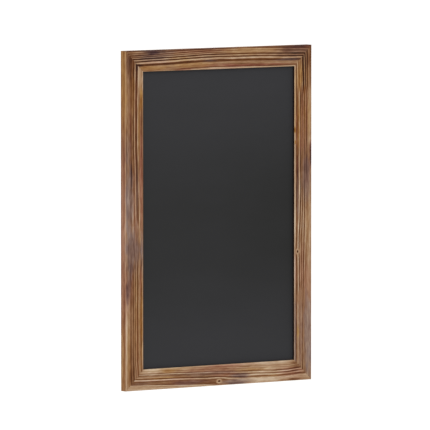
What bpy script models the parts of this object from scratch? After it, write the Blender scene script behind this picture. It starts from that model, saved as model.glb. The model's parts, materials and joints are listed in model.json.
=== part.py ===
"""Wall chalkboard: a mitred softwood frame round a chalk coated steel sheet, with the hardware on its back.

Metres, +Z up. The board hangs upright, its writing face looks along -Y, and the plane y = 0 is the back of the
frame, which faces the wall. The origin lies on that plane, midway between the pivots of the two hanging rings.
"""
import math

import bmesh
import bpy

MM = 0.001

# The frame and the moulding that it is cut from
FRAME_WIDTH = 508 * MM
FRAME_HEIGHT = 762 * MM
FRAME_DEPTH = 20 * MM
MOULDING_WIDTH = 47.5 * MM
LIP_THICKNESS = 7 * MM
RABBET_WIDTH = 9 * MM
ARRIS_RADIUS = 1.8 * MM
ARRIS_STEPS = 4
MITRE_GAP = 0.3 * MM

# The panel in the rabbet
SHEET_THICKNESS = 0.5 * MM
BACKING_THICKNESS = 3 * MM
PANEL_PLAY = 0.8 * MM

# The clearances: between pieces that lie on each other, and round what is pressed into a slot
SEAT_GAP = 0.3 * MM
SLOT_GAP = 0.3 * MM
OVERRUN = 2 * MM

# V nails, pressed into the back across each mitre
NAIL_LEG = 6 * MM
NAIL_SHEET = 0.5 * MM
NAIL_DEPTH = 10 * MM
NAIL_SINK = 0.3 * MM
NAIL_OPENING = math.radians(120)
NAIL_PLACE_SHARES = (0.3, 0.7)

# Framer's points, flat strips with a pointed end in the wall of the rabbet
POINT_LENGTH = 16 * MM
POINT_BITE = 7 * MM
POINT_WIDTH = 6 * MM
POINT_SHEET = 0.5 * MM
POINT_TAPER = 4 * MM
POINT_TIP_WIDTH = 1.5 * MM
POINTS_IN_RAIL = 3
POINTS_IN_STILE = 4

# Hanging rings, bent from wire to a D
PIVOT_DROP = 150 * MM
RING_WIRE = 2.2 * MM
RING_EYE_WIDTH = 16 * MM
RING_SIDE = 4 * MM
RING_CORNER_RADIUS = 2.4 * MM
RING_REST_GAP = 0.4 * MM
RING_BOW_STEPS = 16
RING_CORNER_STEPS = 4

# Hanger straps, folded double round the ring's bar
STRAP_SIDE_PLAY = 0.7 * MM
STRAP_SHEET = 0.8 * MM
STRAP_TAIL = 7 * MM
STRAP_CORNER_RADIUS = 4 * MM
STRAP_CORNER_LIMIT_SHARE = 0.9
STRAP_CORNER_STEPS = 5
ROUND_SHARE = 0.5
LOOP_GAP = 0.3 * MM
LOOP_STEPS = 20
LOOP_THROAT = math.radians(60)

# Pan head wood screws with a crossed recess
SCREW_DIAMETER = 3.5 * MM
SCREW_CORE_SHARE = 0.72
SCREW_LENGTH = 13 * MM
SCREW_PLAIN = 3 * MM
SCREW_POINT = 3 * MM
SCREW_PITCH = 1.5 * MM
SCREW_TIP_DIAMETER = 0.5 * MM
SCREW_SPACING = 15 * MM
HEAD_DIAMETER = 7 * MM
HEAD_HEIGHT = 2.2 * MM
HEAD_EDGE_SHARE = 0.3
HEAD_STEPS = 5
HEAD_ROOM = 1 * MM
RECESS_WIDTH = 3.6 * MM
RECESS_SLOT = 1 * MM
RECESS_DEPTH = 1.3 * MM
THREAD_ROWS = 4
ROUND_SIDES = 12

# Sides of the round cutters, which are twice as fine as what goes into the holes that they cut
CUTTER_SIDES = 2 * ROUND_SIDES

# Rubber bumpers
BUMPER_DIAMETER = 11 * MM
BUMPER_HEIGHT = 4 * MM
BUMPER_RIM = 1.2 * MM
BUMPER_RISE = 40 * MM
BUMPER_SIDES = 24
BUMPER_STEPS = 6

# Smooth shading stops at edges sharper than this
SHARP_ANGLE = math.radians(35)

# Places that follow from the sizes above
TOP = PIVOT_DROP
BOTTOM = TOP - FRAME_HEIGHT
MIDDLE = (TOP + BOTTOM) / 2
BACK_FACE_WIDTH = MOULDING_WIDTH - RABBET_WIDTH
LIP_BACK = LIP_THICKNESS - FRAME_DEPTH
SHEET_FRONT = LIP_BACK + SEAT_GAP
SHEET_BACK = SHEET_FRONT + SHEET_THICKNESS
BACKING_FRONT = SHEET_BACK + SEAT_GAP
BACKING_BACK = BACKING_FRONT + BACKING_THICKNESS
POINT_FRONT = BACKING_BACK + SEAT_GAP
OPENING_WIDTH = FRAME_WIDTH - 2 * BACK_FACE_WIDTH
OPENING_HEIGHT = FRAME_HEIGHT - 2 * BACK_FACE_WIDTH
HANGER_OFFSET = (FRAME_WIDTH - BACK_FACE_WIDTH) / 2
RING_HALF = (RING_EYE_WIDTH + RING_WIRE) / 2
RING_REACH = RING_SIDE + RING_HALF
STRAP_WIDTH = 2 * (RING_HALF - RING_CORNER_RADIUS - STRAP_SIDE_PLAY)
LOOP_BORE = RING_WIRE / 2 + LOOP_GAP
LOOP_RADIUS = LOOP_BORE + STRAP_SHEET
PIVOT_HEIGHT = SEAT_GAP + LOOP_RADIUS
STRAP_TOP = SEAT_GAP + 2 * STRAP_SHEET
SCREW_HOLE = SCREW_DIAMETER / 2 + SLOT_GAP
RING_TIP_HEIGHT = STRAP_TOP + RING_REST_GAP + RING_WIRE / 2
RING_TILT = math.asin((RING_TIP_HEIGHT - PIVOT_HEIGHT) / RING_REACH)
FIRST_SCREW_DROP = RING_REACH + (RING_WIRE + HEAD_DIAMETER) / 2 + HEAD_ROOM
SECOND_SCREW_DROP = FIRST_SCREW_DROP + SCREW_SPACING
STRAP_DROP = SECOND_SCREW_DROP + STRAP_TAIL

# Colour, roughness and metallic value of each kind of piece
FINISHES = {
    "torched_softwood": ((0.24, 0.125, 0.065), 0.6, 0.0),
    "chalk_coating": ((0.038, 0.038, 0.041), 0.75, 0.0),
    "hardboard": ((0.19, 0.105, 0.055), 0.7, 0.0),
    "spring_steel": ((0.33, 0.34, 0.36), 0.35, 1.0),
    "zinc_plated_steel": ((0.62, 0.62, 0.6), 0.3, 1.0),
    "black_rubber": ((0.02, 0.02, 0.02), 0.8, 0.0),
}


def clear_scene():
    """Empties the scene, so that the script can run again."""
    for item in list(bpy.data.objects):
        bpy.data.objects.remove(item, do_unlink=True)


def own_material(name, finish):
    """A material for one piece, named after it."""
    colour, roughness, metallic = FINISHES[finish]
    material = bpy.data.materials.new(f"{name}_{finish}")
    material.use_nodes = True
    shader = material.node_tree.nodes["Principled BSDF"]
    shader.inputs["Base Color"].default_value = (*colour, 1)
    shader.inputs["Roughness"].default_value = roughness
    shader.inputs["Metallic"].default_value = metallic
    return material


def mesh_of(built, name):
    """Turns what was built into a mesh whose faces point out."""
    bmesh.ops.recalc_face_normals(built, faces=built.faces)
    mesh = bpy.data.meshes.new(name)
    built.to_mesh(mesh)
    built.free()
    return mesh


def prism_mesh(name, outline, place):
    """A closed solid with one outline at both ends. place(point, end) gives a corner, and end is -1 or 1."""
    built = bmesh.new()
    first = [built.verts.new(place(point, -1)) for point in outline]
    last = [built.verts.new(place(point, 1)) for point in outline]
    built.faces.new(first)
    built.faces.new(last)
    for index in range(len(outline)):
        before = index - 1
        built.faces.new((first[before], first[index], last[index], last[before]))
    return mesh_of(built, name)


def lying_between(front, back):
    """Places the points of an outline, given as (x, z), at two depths."""
    depths = {-1: front, 1: back}
    return lambda point, end: (point[0], depths[end], point[1])


def stacked_mesh(name, rings):
    """A closed solid through rings of points that lie one behind the other, flat at both ends."""
    built = bmesh.new()
    loops = [[built.verts.new(point) for point in ring] for ring in rings]
    built.faces.new(loops[0])
    built.faces.new(loops[-1])
    for near, far in zip(loops, loops[1:]):
        for index in range(len(near)):
            before = index - 1
            built.faces.new((near[before], near[index], far[index], far[before]))
    return mesh_of(built, name)


def ring_points(radius, height, sides):
    """A circle of points round the Y axis, or a wavy one where radius is a function of the angle."""
    angles = [2 * math.pi * index / sides for index in range(sides)]
    radii = [radius(angle) if callable(radius) else radius for angle in angles]
    return [(reach * math.cos(angle), height, reach * math.sin(angle)) for reach, angle in zip(radii, angles)]


def round_cutter_mesh(radius, low, high):
    """A plain cylinder along Y, for cutting a round hole."""
    return stacked_mesh("round_cutter", [ring_points(radius, height, CUTTER_SIDES) for height in (low, high)])


def add_piece(name, shape, hanging_point, finish=None, location=(0, 0, 0), turn=(0, 0, 0)):
    """Adds one piece of the board, with a material of its own unless its shape already has one."""
    piece = bpy.data.objects.new(name, shape)
    bpy.context.scene.collection.objects.link(piece)
    piece.parent = hanging_point
    piece.location = location
    piece.rotation_euler = turn
    if finish:
        shape.materials.append(own_material(name, finish))
    return piece


def add_cutter(name, mesh, location=(0, 0, 0), turn=(0, 0, 0)):
    """Adds a solid that is only there to be cut out of others."""
    cutter = bpy.data.objects.new(name, mesh)
    bpy.context.scene.collection.objects.link(cutter)
    cutter.location = location
    cutter.rotation_euler = turn
    cutter.hide_render = True
    cutter.display_type = "WIRE"
    return cutter


def cut_out(piece, cutters):
    """Cuts all the cutters out of a piece in one go."""
    group = bpy.data.collections.new(f"{piece.name}_cuts")
    bpy.context.scene.collection.children.link(group)
    for cutter in cutters:
        group.objects.link(cutter)
    cut = piece.modifiers.new("cuts", "BOOLEAN")
    cut.operation = "DIFFERENCE"
    cut.solver = "EXACT"
    cut.operand_type = "COLLECTION"
    cut.collection = group


def rounded_corner(across, height, turn_from):
    """Points on a quarter circle of the arris radius round a centre, from the angle where it starts."""
    points = []
    for step in range(ARRIS_STEPS + 1):
        angle = turn_from + math.pi / 2 * step / ARRIS_STEPS
        points.append((across + ARRIS_RADIUS * math.cos(angle), height + ARRIS_RADIUS * math.sin(angle)))
    return points


def moulding_profile():
    """Section of the moulding: how far in from the outer edge, and how far behind the back plane."""
    inner = MOULDING_WIDTH
    front = -FRAME_DEPTH
    return (
        rounded_corner(ARRIS_RADIUS, front + ARRIS_RADIUS, math.pi)
        + rounded_corner(inner - ARRIS_RADIUS, front + ARRIS_RADIUS, 3 * math.pi / 2)
        + [(inner, LIP_BACK), (BACK_FACE_WIDTH, LIP_BACK), (BACK_FACE_WIDTH, 0)]
        + rounded_corner(ARRIS_RADIUS, -ARRIS_RADIUS, math.pi / 2)
    )


def frame_members(hanging_point, cutters):
    """The four lengths of moulding, mitred at both ends and slotted for what is pressed into them."""
    places = {
        "top_rail": (FRAME_WIDTH, (0, 0, TOP), 0),
        "bottom_rail": (FRAME_WIDTH, (0, 0, BOTTOM), math.pi),
        "left_stile": (FRAME_HEIGHT, (-FRAME_WIDTH / 2, 0, MIDDLE), -math.pi / 2),
        "right_stile": (FRAME_HEIGHT, (FRAME_WIDTH / 2, 0, MIDDLE), math.pi / 2),
    }
    mitre_shift = MITRE_GAP / math.sqrt(2)
    for name, (length, outer_edge, turn) in places.items():
        mesh = prism_mesh(
            name,
            moulding_profile(),
            lambda point, end: (end * (length / 2 - point[0] - mitre_shift), point[1], -point[0]),
        )
        member = add_piece(name, mesh, hanging_point, "torched_softwood", outer_edge, (0, turn, 0))
        cut_out(member, cutters[name])


def slab(name, width, height, front, back, finish, hanging_point):
    """A flat board or sheet, centred on the frame's opening."""
    outline = [(across * width / 2, up * height / 2) for across, up in ((-1, -1), (1, -1), (1, 1), (-1, 1))]
    mesh = prism_mesh(name, outline, lying_between(front, back))
    add_piece(name, mesh, hanging_point, finish, (0, 0, MIDDLE))


def panel(hanging_point):
    """The chalk coated steel sheet and the hardboard that keeps it flat."""
    width = OPENING_WIDTH - 2 * PANEL_PLAY
    height = OPENING_HEIGHT - 2 * PANEL_PLAY
    slab("writing_sheet", width, height, SHEET_FRONT, SHEET_BACK, "chalk_coating", hanging_point)
    slab("backing_board", width, height, BACKING_FRONT, BACKING_BACK, "hardboard", hanging_point)


def nail_outline(margin=0.0):
    """A V seen from the back: its point is at +X, and its legs run back on both sides of the mitre."""
    half_sheet = NAIL_SHEET / 2 + margin
    leg = NAIL_LEG + margin
    spread = NAIL_OPENING / 2
    along = leg * math.cos(spread)
    aside = leg * math.sin(spread)
    shift_along = half_sheet * math.sin(spread)
    shift_aside = half_sheet * math.cos(spread)
    point = half_sheet / math.sin(spread)
    return [
        (point, 0),
        (shift_along - along, aside + shift_aside),
        (-shift_along - along, aside - shift_aside),
        (-point, 0),
        (-shift_along - along, shift_aside - aside),
        (shift_along - along, -aside - shift_aside),
    ]


def corner_nails(hanging_point, cutters):
    """Two V nails across each mitre, and the slots that they sit in."""
    front = -NAIL_SINK - NAIL_DEPTH
    nail_mesh = prism_mesh("v_nail", nail_outline(), lying_between(front, -NAIL_SINK))
    nail_mesh.materials.append(own_material("v_nail", "spring_steel"))
    slot_mesh = prism_mesh("nail_slot", nail_outline(SLOT_GAP), lying_between(front - SLOT_GAP, OVERRUN))
    edges = {"top": (TOP, 1), "bottom": (BOTTOM, -1)}
    for side, across in (("left", -1), ("right", 1)):
        for level, (edge, up) in edges.items():
            turn = (0, math.atan2(-up, across), 0)
            for number, share in enumerate(NAIL_PLACE_SHARES, 1):
                inset = share * BACK_FACE_WIDTH
                place = (across * (FRAME_WIDTH / 2 - inset), 0, edge - up * inset)
                name = f"{level}_{side}_v_nail_{number}"
                add_piece(name, nail_mesh, hanging_point, None, place, turn)
                slot = add_cutter(f"{name}_slot", slot_mesh, place, turn)
                cutters[f"{level}_rail"].append(slot)
                cutters[f"{side}_stile"].append(slot)


def point_outline(margin=0.0):
    """A framer's point seen from the back: +X runs into the wood, and x = 0 is the wall of the rabbet."""
    half = POINT_WIDTH / 2 + margin
    half_tip = POINT_TIP_WIDTH / 2 + margin
    tail = POINT_BITE - POINT_LENGTH
    tip = POINT_BITE + margin
    return [
        (tail, -half),
        (tip - POINT_TAPER, -half),
        (tip, -half_tip),
        (tip, half_tip),
        (tip - POINT_TAPER, half),
        (tail, half),
    ]


def framers_points(hanging_point, cutters):
    """The strips that hold the panel in, spread along each side of the opening, and their slots."""
    back = POINT_FRONT + POINT_SHEET
    strip_mesh = prism_mesh("framers_point", point_outline(), lying_between(POINT_FRONT, back))
    strip_mesh.materials.append(own_material("framers_point", "spring_steel"))
    slot_depths = lying_between(POINT_FRONT - SLOT_GAP, back + SLOT_GAP)
    slot_mesh = prism_mesh("point_slot", point_outline(SLOT_GAP), slot_depths)
    sides = {
        "top_rail": ((0, 1), POINTS_IN_RAIL, OPENING_WIDTH, OPENING_HEIGHT),
        "bottom_rail": ((0, -1), POINTS_IN_RAIL, OPENING_WIDTH, OPENING_HEIGHT),
        "left_stile": ((-1, 0), POINTS_IN_STILE, OPENING_HEIGHT, OPENING_WIDTH),
        "right_stile": ((1, 0), POINTS_IN_STILE, OPENING_HEIGHT, OPENING_WIDTH),
    }
    for member, ((across, up), count, length, span) in sides.items():
        for index in range(count):
            along = length * ((index + 0.5) / count - 0.5)
            place = (across * span / 2 + abs(up) * along, 0, MIDDLE + up * span / 2 + abs(across) * along)
            turn = (0, math.atan2(-up, across), 0)
            name = f"{member}_point_{index + 1}"
            add_piece(name, strip_mesh, hanging_point, None, place, turn)
            cutters[member].append(add_cutter(f"{name}_slot", slot_mesh, place, turn))


def ring_path():
    """The D that the wire follows: its bar lies on the X axis and its bow hangs below."""
    corner = RING_CORNER_RADIUS
    points = []
    for step in range(RING_CORNER_STEPS + 1):
        angle = math.pi / 2 * step / RING_CORNER_STEPS
        points.append((RING_HALF - corner + corner * math.sin(angle), corner * math.cos(angle) - corner))
    for step in range(RING_BOW_STEPS + 1):
        angle = math.pi * step / RING_BOW_STEPS
        points.append((RING_HALF * math.cos(angle), -RING_SIDE - RING_HALF * math.sin(angle)))
    for step in range(RING_CORNER_STEPS + 1):
        angle = math.pi / 2 * step / RING_CORNER_STEPS
        points.append((corner - RING_HALF - corner * math.cos(angle), corner * math.sin(angle) - corner))
    return points


def hanger_ring(name, across, hanging_point):
    """A D of wire, hanging from its bar. Its origin is on the bar, which is its pivot."""
    path = ring_path()
    curve = bpy.data.curves.new(name, "CURVE")
    curve.dimensions = "3D"
    curve.bevel_depth = RING_WIRE / 2
    curve.bevel_resolution = 2
    spline = curve.splines.new("POLY")
    spline.points.add(len(path) - 1)
    for point, (along, up) in zip(spline.points, path):
        point.co = (along, 0, up, 1)
    spline.use_cyclic_u = True
    add_piece(name, curve, hanging_point, "zinc_plated_steel", (across, PIVOT_HEIGHT, 0), (RING_TILT, 0, 0))


def strap_outline():
    """Section of the folded strap: the height over the wood, and the height above the pivot."""
    points = [(SEAT_GAP, -STRAP_DROP)]
    for step in range(LOOP_STEPS + 1):
        angle = (math.pi + LOOP_THROAT) * step / LOOP_STEPS
        points.append((PIVOT_HEIGHT - LOOP_RADIUS * math.cos(angle), LOOP_RADIUS * math.sin(angle)))
    throat_height, throat_drop = points[-1]
    run = (throat_height - STRAP_TOP) / math.sin(LOOP_THROAT)
    points.append((STRAP_TOP, throat_drop - run * math.cos(LOOP_THROAT)))
    points.append((STRAP_TOP, -STRAP_DROP))
    return points


def is_tail_corner(edge):
    """True for an edge at the strap's tail that runs straight out from the wood."""
    first, second = (vert.co for vert in edge.verts)
    return first.x == second.x and first.z == second.z and first.z < -SECOND_SCREW_DROP


def round_strap_tail(mesh):
    """Rounds the two corners at the tail of the strap."""
    built = bmesh.new()
    built.from_mesh(mesh)
    corners = [edge for edge in built.edges if is_tail_corner(edge)]
    radius = min(STRAP_CORNER_RADIUS, STRAP_WIDTH / 2 * STRAP_CORNER_LIMIT_SHARE)
    rounding = {"offset": radius, "segments": STRAP_CORNER_STEPS, "profile": ROUND_SHARE}
    bmesh.ops.bevel(built, geom=corners, affect="EDGES", **rounding)
    built.to_mesh(mesh)
    built.free()


def hanger_strap(name, across, hanging_point):
    """The strap that is screwed to a stile, with the loop that the ring turns in."""
    mesh = prism_mesh(name, strap_outline(), lambda point, end: (end * STRAP_WIDTH / 2, *point))
    round_strap_tail(mesh)
    strap = add_piece(name, mesh, hanging_point, "zinc_plated_steel", (across, 0, 0))
    half_bore = STRAP_WIDTH / 2 + OVERRUN
    bore_mesh = round_cutter_mesh(LOOP_BORE, -half_bore, half_bore)
    cutters = [add_cutter(f"{name}_bore", bore_mesh, (across, PIVOT_HEIGHT, 0), (0, 0, math.pi / 2))]
    hole_mesh = round_cutter_mesh(SCREW_HOLE, -OVERRUN, STRAP_TOP + OVERRUN)
    for number, drop in enumerate((FIRST_SCREW_DROP, SECOND_SCREW_DROP), 1):
        cutters.append(add_cutter(f"{name}_hole_{number}", hole_mesh, (across, 0, -drop)))
    cut_out(strap, cutters)


def thread_radius(height, angle):
    """Radius of the threaded shank: a ridge that climbs one pitch for each turn, dying out at the point."""
    core = SCREW_DIAMETER / 2 * SCREW_CORE_SHARE
    tip = SCREW_TIP_DIAMETER / 2
    fullness = min(1, max(0, (height + SCREW_LENGTH) / SCREW_POINT))
    phase = (height / SCREW_PITCH - angle / (2 * math.pi)) % 1
    ridge = 1 - abs(2 * phase - 1)
    return tip + fullness * (core - tip + ridge * (SCREW_DIAMETER / 2 - core))


def screw_mesh():
    """A pan head screw along Y: the shank runs to -Y, and y = 0 is the underside of the head."""
    rings = []
    threaded = SCREW_LENGTH - SCREW_PLAIN
    rows = round(threaded / SCREW_PITCH) * THREAD_ROWS
    for row in range(rows + 1):
        height = -SCREW_LENGTH + threaded * row / rows
        rings.append(ring_points(lambda angle: thread_radius(height, angle), height, ROUND_SIDES))
    shank = SCREW_DIAMETER / 2
    rings.append(ring_points(shank, -SCREW_PLAIN + SCREW_PITCH / THREAD_ROWS, ROUND_SIDES))
    rings.append(ring_points(shank, 0, ROUND_SIDES))
    edge = HEAD_EDGE_SHARE * HEAD_HEIGHT
    rings.append(ring_points(HEAD_DIAMETER / 2, 0, ROUND_SIDES))
    for step in range(HEAD_STEPS):
        angle = math.pi / 2 * step / HEAD_STEPS
        height = edge + (HEAD_HEIGHT - edge) * math.sin(angle)
        rings.append(ring_points(HEAD_DIAMETER / 2 * math.cos(angle), height, ROUND_SIDES))
    mesh = stacked_mesh("pan_head_screw", rings)
    mesh.shade_smooth()
    mesh.set_sharp_from_angle(angle=SHARP_ANGLE)
    mesh.materials.append(own_material("pan_head_screw", "zinc_plated_steel"))
    return mesh


def recess_mesh():
    """The crossed recess in a screw's head, as a solid to cut out."""
    long = RECESS_WIDTH / 2
    short = RECESS_SLOT / 2
    quarter = [(long, -short), (long, short), (short, short)]
    outline = []
    for turn in range(4):
        for across, up in quarter:
            for _ in range(turn):
                across, up = -up, across
            outline.append((across, up))
    return prism_mesh("recess", outline, lying_between(HEAD_HEIGHT - RECESS_DEPTH, HEAD_HEIGHT + OVERRUN))


def hanger_screws(side, across, hanging_point, cutters, shapes):
    """The two screws of one strap, and the pilot holes that they take in the stile."""
    head_seat = STRAP_TOP + SEAT_GAP
    pilot = round_cutter_mesh(SCREW_HOLE, head_seat - SCREW_LENGTH - SLOT_GAP, OVERRUN)
    for level, drop in (("upper", FIRST_SCREW_DROP), ("lower", SECOND_SCREW_DROP)):
        name = f"{side}_{level}_hanger_screw"
        place = (across, head_seat, -drop)
        screw = add_piece(name, shapes["screw"], hanging_point, None, place)
        cut_out(screw, [add_cutter(f"{name}_recess", shapes["recess"], place)])
        cutters[f"{side}_stile"].append(add_cutter(f"{name}_pilot", pilot, (across, 0, -drop)))


def hangers(hanging_point, cutters):
    """The two ring hangers, one on the back of each stile."""
    shapes = {"screw": screw_mesh(), "recess": recess_mesh()}
    for side, across in (("left", -HANGER_OFFSET), ("right", HANGER_OFFSET)):
        hanger_strap(f"{side}_hanger_strap", across, hanging_point)
        hanger_ring(f"{side}_hanger_ring", across, hanging_point)
        hanger_screws(side, across, hanging_point, cutters, shapes)


def bumpers(hanging_point):
    """The rubber domes that keep the lower end of the board off the wall."""
    radius = BUMPER_DIAMETER / 2
    rings = [ring_points(radius, 0, BUMPER_SIDES)]
    for step in range(BUMPER_STEPS):
        angle = math.pi / 2 * step / BUMPER_STEPS
        height = BUMPER_RIM + (BUMPER_HEIGHT - BUMPER_RIM) * math.sin(angle)
        rings.append(ring_points(radius * math.cos(angle), height, BUMPER_SIDES))
    mesh = stacked_mesh("bumper", rings)
    mesh.shade_smooth()
    mesh.set_sharp_from_angle(angle=SHARP_ANGLE)
    mesh.materials.append(own_material("bumper", "black_rubber"))
    for side, across in (("left", -HANGER_OFFSET), ("right", HANGER_OFFSET)):
        place = (across, SEAT_GAP, BOTTOM + BUMPER_RISE)
        add_piece(f"{side}_bumper", mesh, hanging_point, None, place)


def build():
    """Makes every piece of the board."""
    clear_scene()
    hanging_point = bpy.data.objects.new("hanging_point", None)
    bpy.context.scene.collection.objects.link(hanging_point)
    cutters = {"top_rail": [], "bottom_rail": [], "left_stile": [], "right_stile": []}
    corner_nails(hanging_point, cutters)
    framers_points(hanging_point, cutters)
    hangers(hanging_point, cutters)
    bumpers(hanging_point)
    panel(hanging_point)
    frame_members(hanging_point, cutters)


build()
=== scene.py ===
# %% [markdown]
# # A framed wall chalkboard, dressed round its construction
#
# The board is four lengths of flat softwood, mitred at the corners, round a thin steel sheet with a matte
# chalk coating. The wood was torched, which burns the soft spring growth deeper than the hard summer growth,
# and then brushed, which takes the burnt soft wood away. What is left are fine ridges, dark on top, with
# paler grooves between them. That is why this lesson shapes the wood and paints it with one and the same
# rule.

import json
import math
from functools import partial
from types import SimpleNamespace

import bpy
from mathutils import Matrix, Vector


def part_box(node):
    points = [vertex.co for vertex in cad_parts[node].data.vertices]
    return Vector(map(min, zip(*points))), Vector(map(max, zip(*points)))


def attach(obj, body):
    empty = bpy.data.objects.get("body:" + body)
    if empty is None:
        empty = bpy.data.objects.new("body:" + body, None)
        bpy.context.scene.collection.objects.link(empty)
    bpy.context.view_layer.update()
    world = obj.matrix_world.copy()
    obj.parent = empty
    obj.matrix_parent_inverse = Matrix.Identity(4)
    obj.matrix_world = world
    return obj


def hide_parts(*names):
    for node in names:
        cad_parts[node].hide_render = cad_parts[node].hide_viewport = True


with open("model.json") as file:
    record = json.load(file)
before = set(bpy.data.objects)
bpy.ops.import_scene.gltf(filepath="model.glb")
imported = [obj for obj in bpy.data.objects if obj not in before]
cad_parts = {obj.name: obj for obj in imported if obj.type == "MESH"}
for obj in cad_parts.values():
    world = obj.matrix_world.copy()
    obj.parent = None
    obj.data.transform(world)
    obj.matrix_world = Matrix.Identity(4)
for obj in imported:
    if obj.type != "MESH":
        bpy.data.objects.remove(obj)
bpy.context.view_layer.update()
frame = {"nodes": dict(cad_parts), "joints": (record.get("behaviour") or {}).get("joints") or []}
NODES = frame["nodes"]
MM = 0.001
CM = 0.01
MM_PER_CM = 10
CM_PER_MM = 0.1

# %% [markdown]
# ## The sizes that the looks follow
#
# Everything is placed from the boxes of the construction's own pieces, so nothing has to be fitted by eye.
# Three sizes are known from no box: the small gap between the lip and the sheet, the width of the rabbet and
# the radius of the rounded corners. The board hangs upright: Z is up, the writing side looks along -Y, and
# the back of the frame lies where Y is 0.

# %% Read the sizes
RAIL_LOW, RAIL_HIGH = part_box("top_rail")
STILE_LOW, STILE_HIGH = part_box("left_stile")
SHEET_LOW, SHEET_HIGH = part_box("writing_sheet")
SEAT_GAP = 0.3 * MM
RABBET = 9 * MM
ARRIS = 1.8 * MM
WIDTH = RAIL_HIGH.x - RAIL_LOW.x
HEIGHT = STILE_HIGH.z - STILE_LOW.z
DEPTH = RAIL_HIGH.y - RAIL_LOW.y
FACE = STILE_HIGH.x - STILE_LOW.x
LIP = SHEET_LOW.y - RAIL_LOW.y - SEAT_GAP
TOP = RAIL_HIGH.z
BOTTOM = STILE_LOW.z
MIDDLE = (TOP + BOTTOM) / 2
print(f"frame: {WIDTH / MM:.1f} by {HEIGHT / MM:.1f} by {DEPTH / MM:.1f} mm")
print(f"moulding: face {FACE / MM:.1f} mm, lip {LIP / MM:.1f} mm")

# %% [markdown]
# ## The camera
#
# The photograph's straight edges give its viewpoint: the board is seen from its left, a little above its
# middle, through a very long lens, so that its far side is hardly smaller than its near one. The lens is
# given by its focal length in pixels of the 430 pixel frame. The board sits a little off the centre of the
# frame, and turning the camera by that much does the same as shifting its lens.

# %% Set up the camera
FRAME_PIXELS = 430
FOCAL_PIXELS = 7425
SENSOR_MM = 36
DISTANCE = 16.71
CLIP_RANGE = (1, 200)
AZIMUTH = math.radians(-34.50)
ELEVATION = math.radians(4.22)
OFF_CENTRE_PIXELS = (2.0, 1.75)

level = math.cos(ELEVATION)
away = Vector((math.sin(AZIMUTH) * level, -math.cos(AZIMUTH) * level, math.sin(ELEVATION)))
heading = (-away).to_track_quat("-Z", "Y")
pixel = DISTANCE / FOCAL_PIXELS
board_centre = Vector((0, -DEPTH / 2, MIDDLE))
aim = board_centre + heading @ Vector((-OFF_CENTRE_PIXELS[0] * pixel, OFF_CENTRE_PIXELS[1] * pixel, 0))

camera_data = bpy.data.cameras.new("camera")
camera_data.sensor_width = SENSOR_MM
camera_data.lens = FOCAL_PIXELS / FRAME_PIXELS * SENSOR_MM
camera_data.clip_start, camera_data.clip_end = CLIP_RANGE
camera = bpy.data.objects.new("camera", camera_data)
camera.location = aim + away * DISTANCE
camera.rotation_mode = "QUATERNION"
camera.rotation_quaternion = heading
bpy.context.scene.collection.objects.link(camera)
bpy.context.scene.camera = camera
print(f"camera: {camera_data.lens:.0f} mm lens, one pixel is {pixel / MM:.2f} mm on the board")

# %% [markdown]
# ## Helpers for node trees
#
# Colours are written as they look on a screen, in hex, and a node wants them linear. Every node in this
# lesson, for materials and for geometry, is added by one function, which sets it up and feeds its inputs in
# order or by name. The same feeding serves a shader that is there already. A Geometry Nodes tree starts with
# its named inputs, and ends with real geometry, shaded and with its material.

# %% Helpers for colours and nodes
SHARP_ANGLE = math.radians(35)


def linear(code):
    """The linear colour of an sRGB hex code."""
    parts = [int(code[place:place + 2], 16) / 255 for place in (1, 3, 5)]
    return [part / 12.92 if part <= 0.04045 else ((part + 0.055) / 1.055) ** 2.4 for part in parts] + [1]


def feed(tree, node, feeds):
    """Feeds a node's open inputs, in order or by name, with sockets, other nodes or plain values."""
    for key, value in feeds.items() if isinstance(feeds, dict) else enumerate(feeds):
        open_inputs = [socket for socket in node.inputs if socket.enabled]
        target = open_inputs[key] if isinstance(key, int) else next(s for s in open_inputs if s.name == key)
        if isinstance(value, bpy.types.Node):
            value = next(socket for socket in value.outputs if socket.enabled)
        if isinstance(value, bpy.types.NodeSocket):
            tree.links.new(value, target)
        else:
            target.default_value = value


def add_node(tree, kind, feeds=(), **settings):
    """Adds a node with its settings, and feeds it."""
    node = tree.nodes.new(kind)
    for name, value in settings.items():
        setattr(node, name, value)
    feed(tree, node, feeds)
    return node


def set_curve(node, points):
    """Draws the curve of a Float Curve node through points from 0 to 1."""
    curve = node.mapping.curves[0]
    while len(curve.points) > 2:
        curve.points.remove(curve.points[1])
    for place, value in points[1:-1]:
        curve.points.new(place, value)
    for point, (place, value) in zip(sorted(curve.points, key=lambda p: p.location.x), points):
        point.location = (place, value)
        point.handle_type = "AUTO_CLAMPED"
    node.mapping.update()


def set_ramp(node, stops):
    """Gives a Color Ramp node its stops, as places from 0 to 1 with hex colours."""
    while len(node.color_ramp.elements) > 1:
        node.color_ramp.elements.remove(node.color_ramp.elements[-1])
    for index, (place, code) in enumerate(stops):
        element = node.color_ramp.elements[0] if index == 0 else node.color_ramp.elements.new(place)
        element.position = place
        element.color = linear(code)


def new_tree(name, inputs):
    """A Geometry Nodes tree with named inputs and one output, and the sockets that its inputs come in by."""
    tree = bpy.data.node_groups.new(name, "GeometryNodeTree")
    for label, kind in inputs.items():
        tree.interface.new_socket(label, in_out="INPUT", socket_type=f"NodeSocket{kind}")
    tree.interface.new_socket("Geometry", in_out="OUTPUT", socket_type="NodeSocketGeometry")
    return tree, add_node(tree, "NodeGroupInput").outputs


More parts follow.
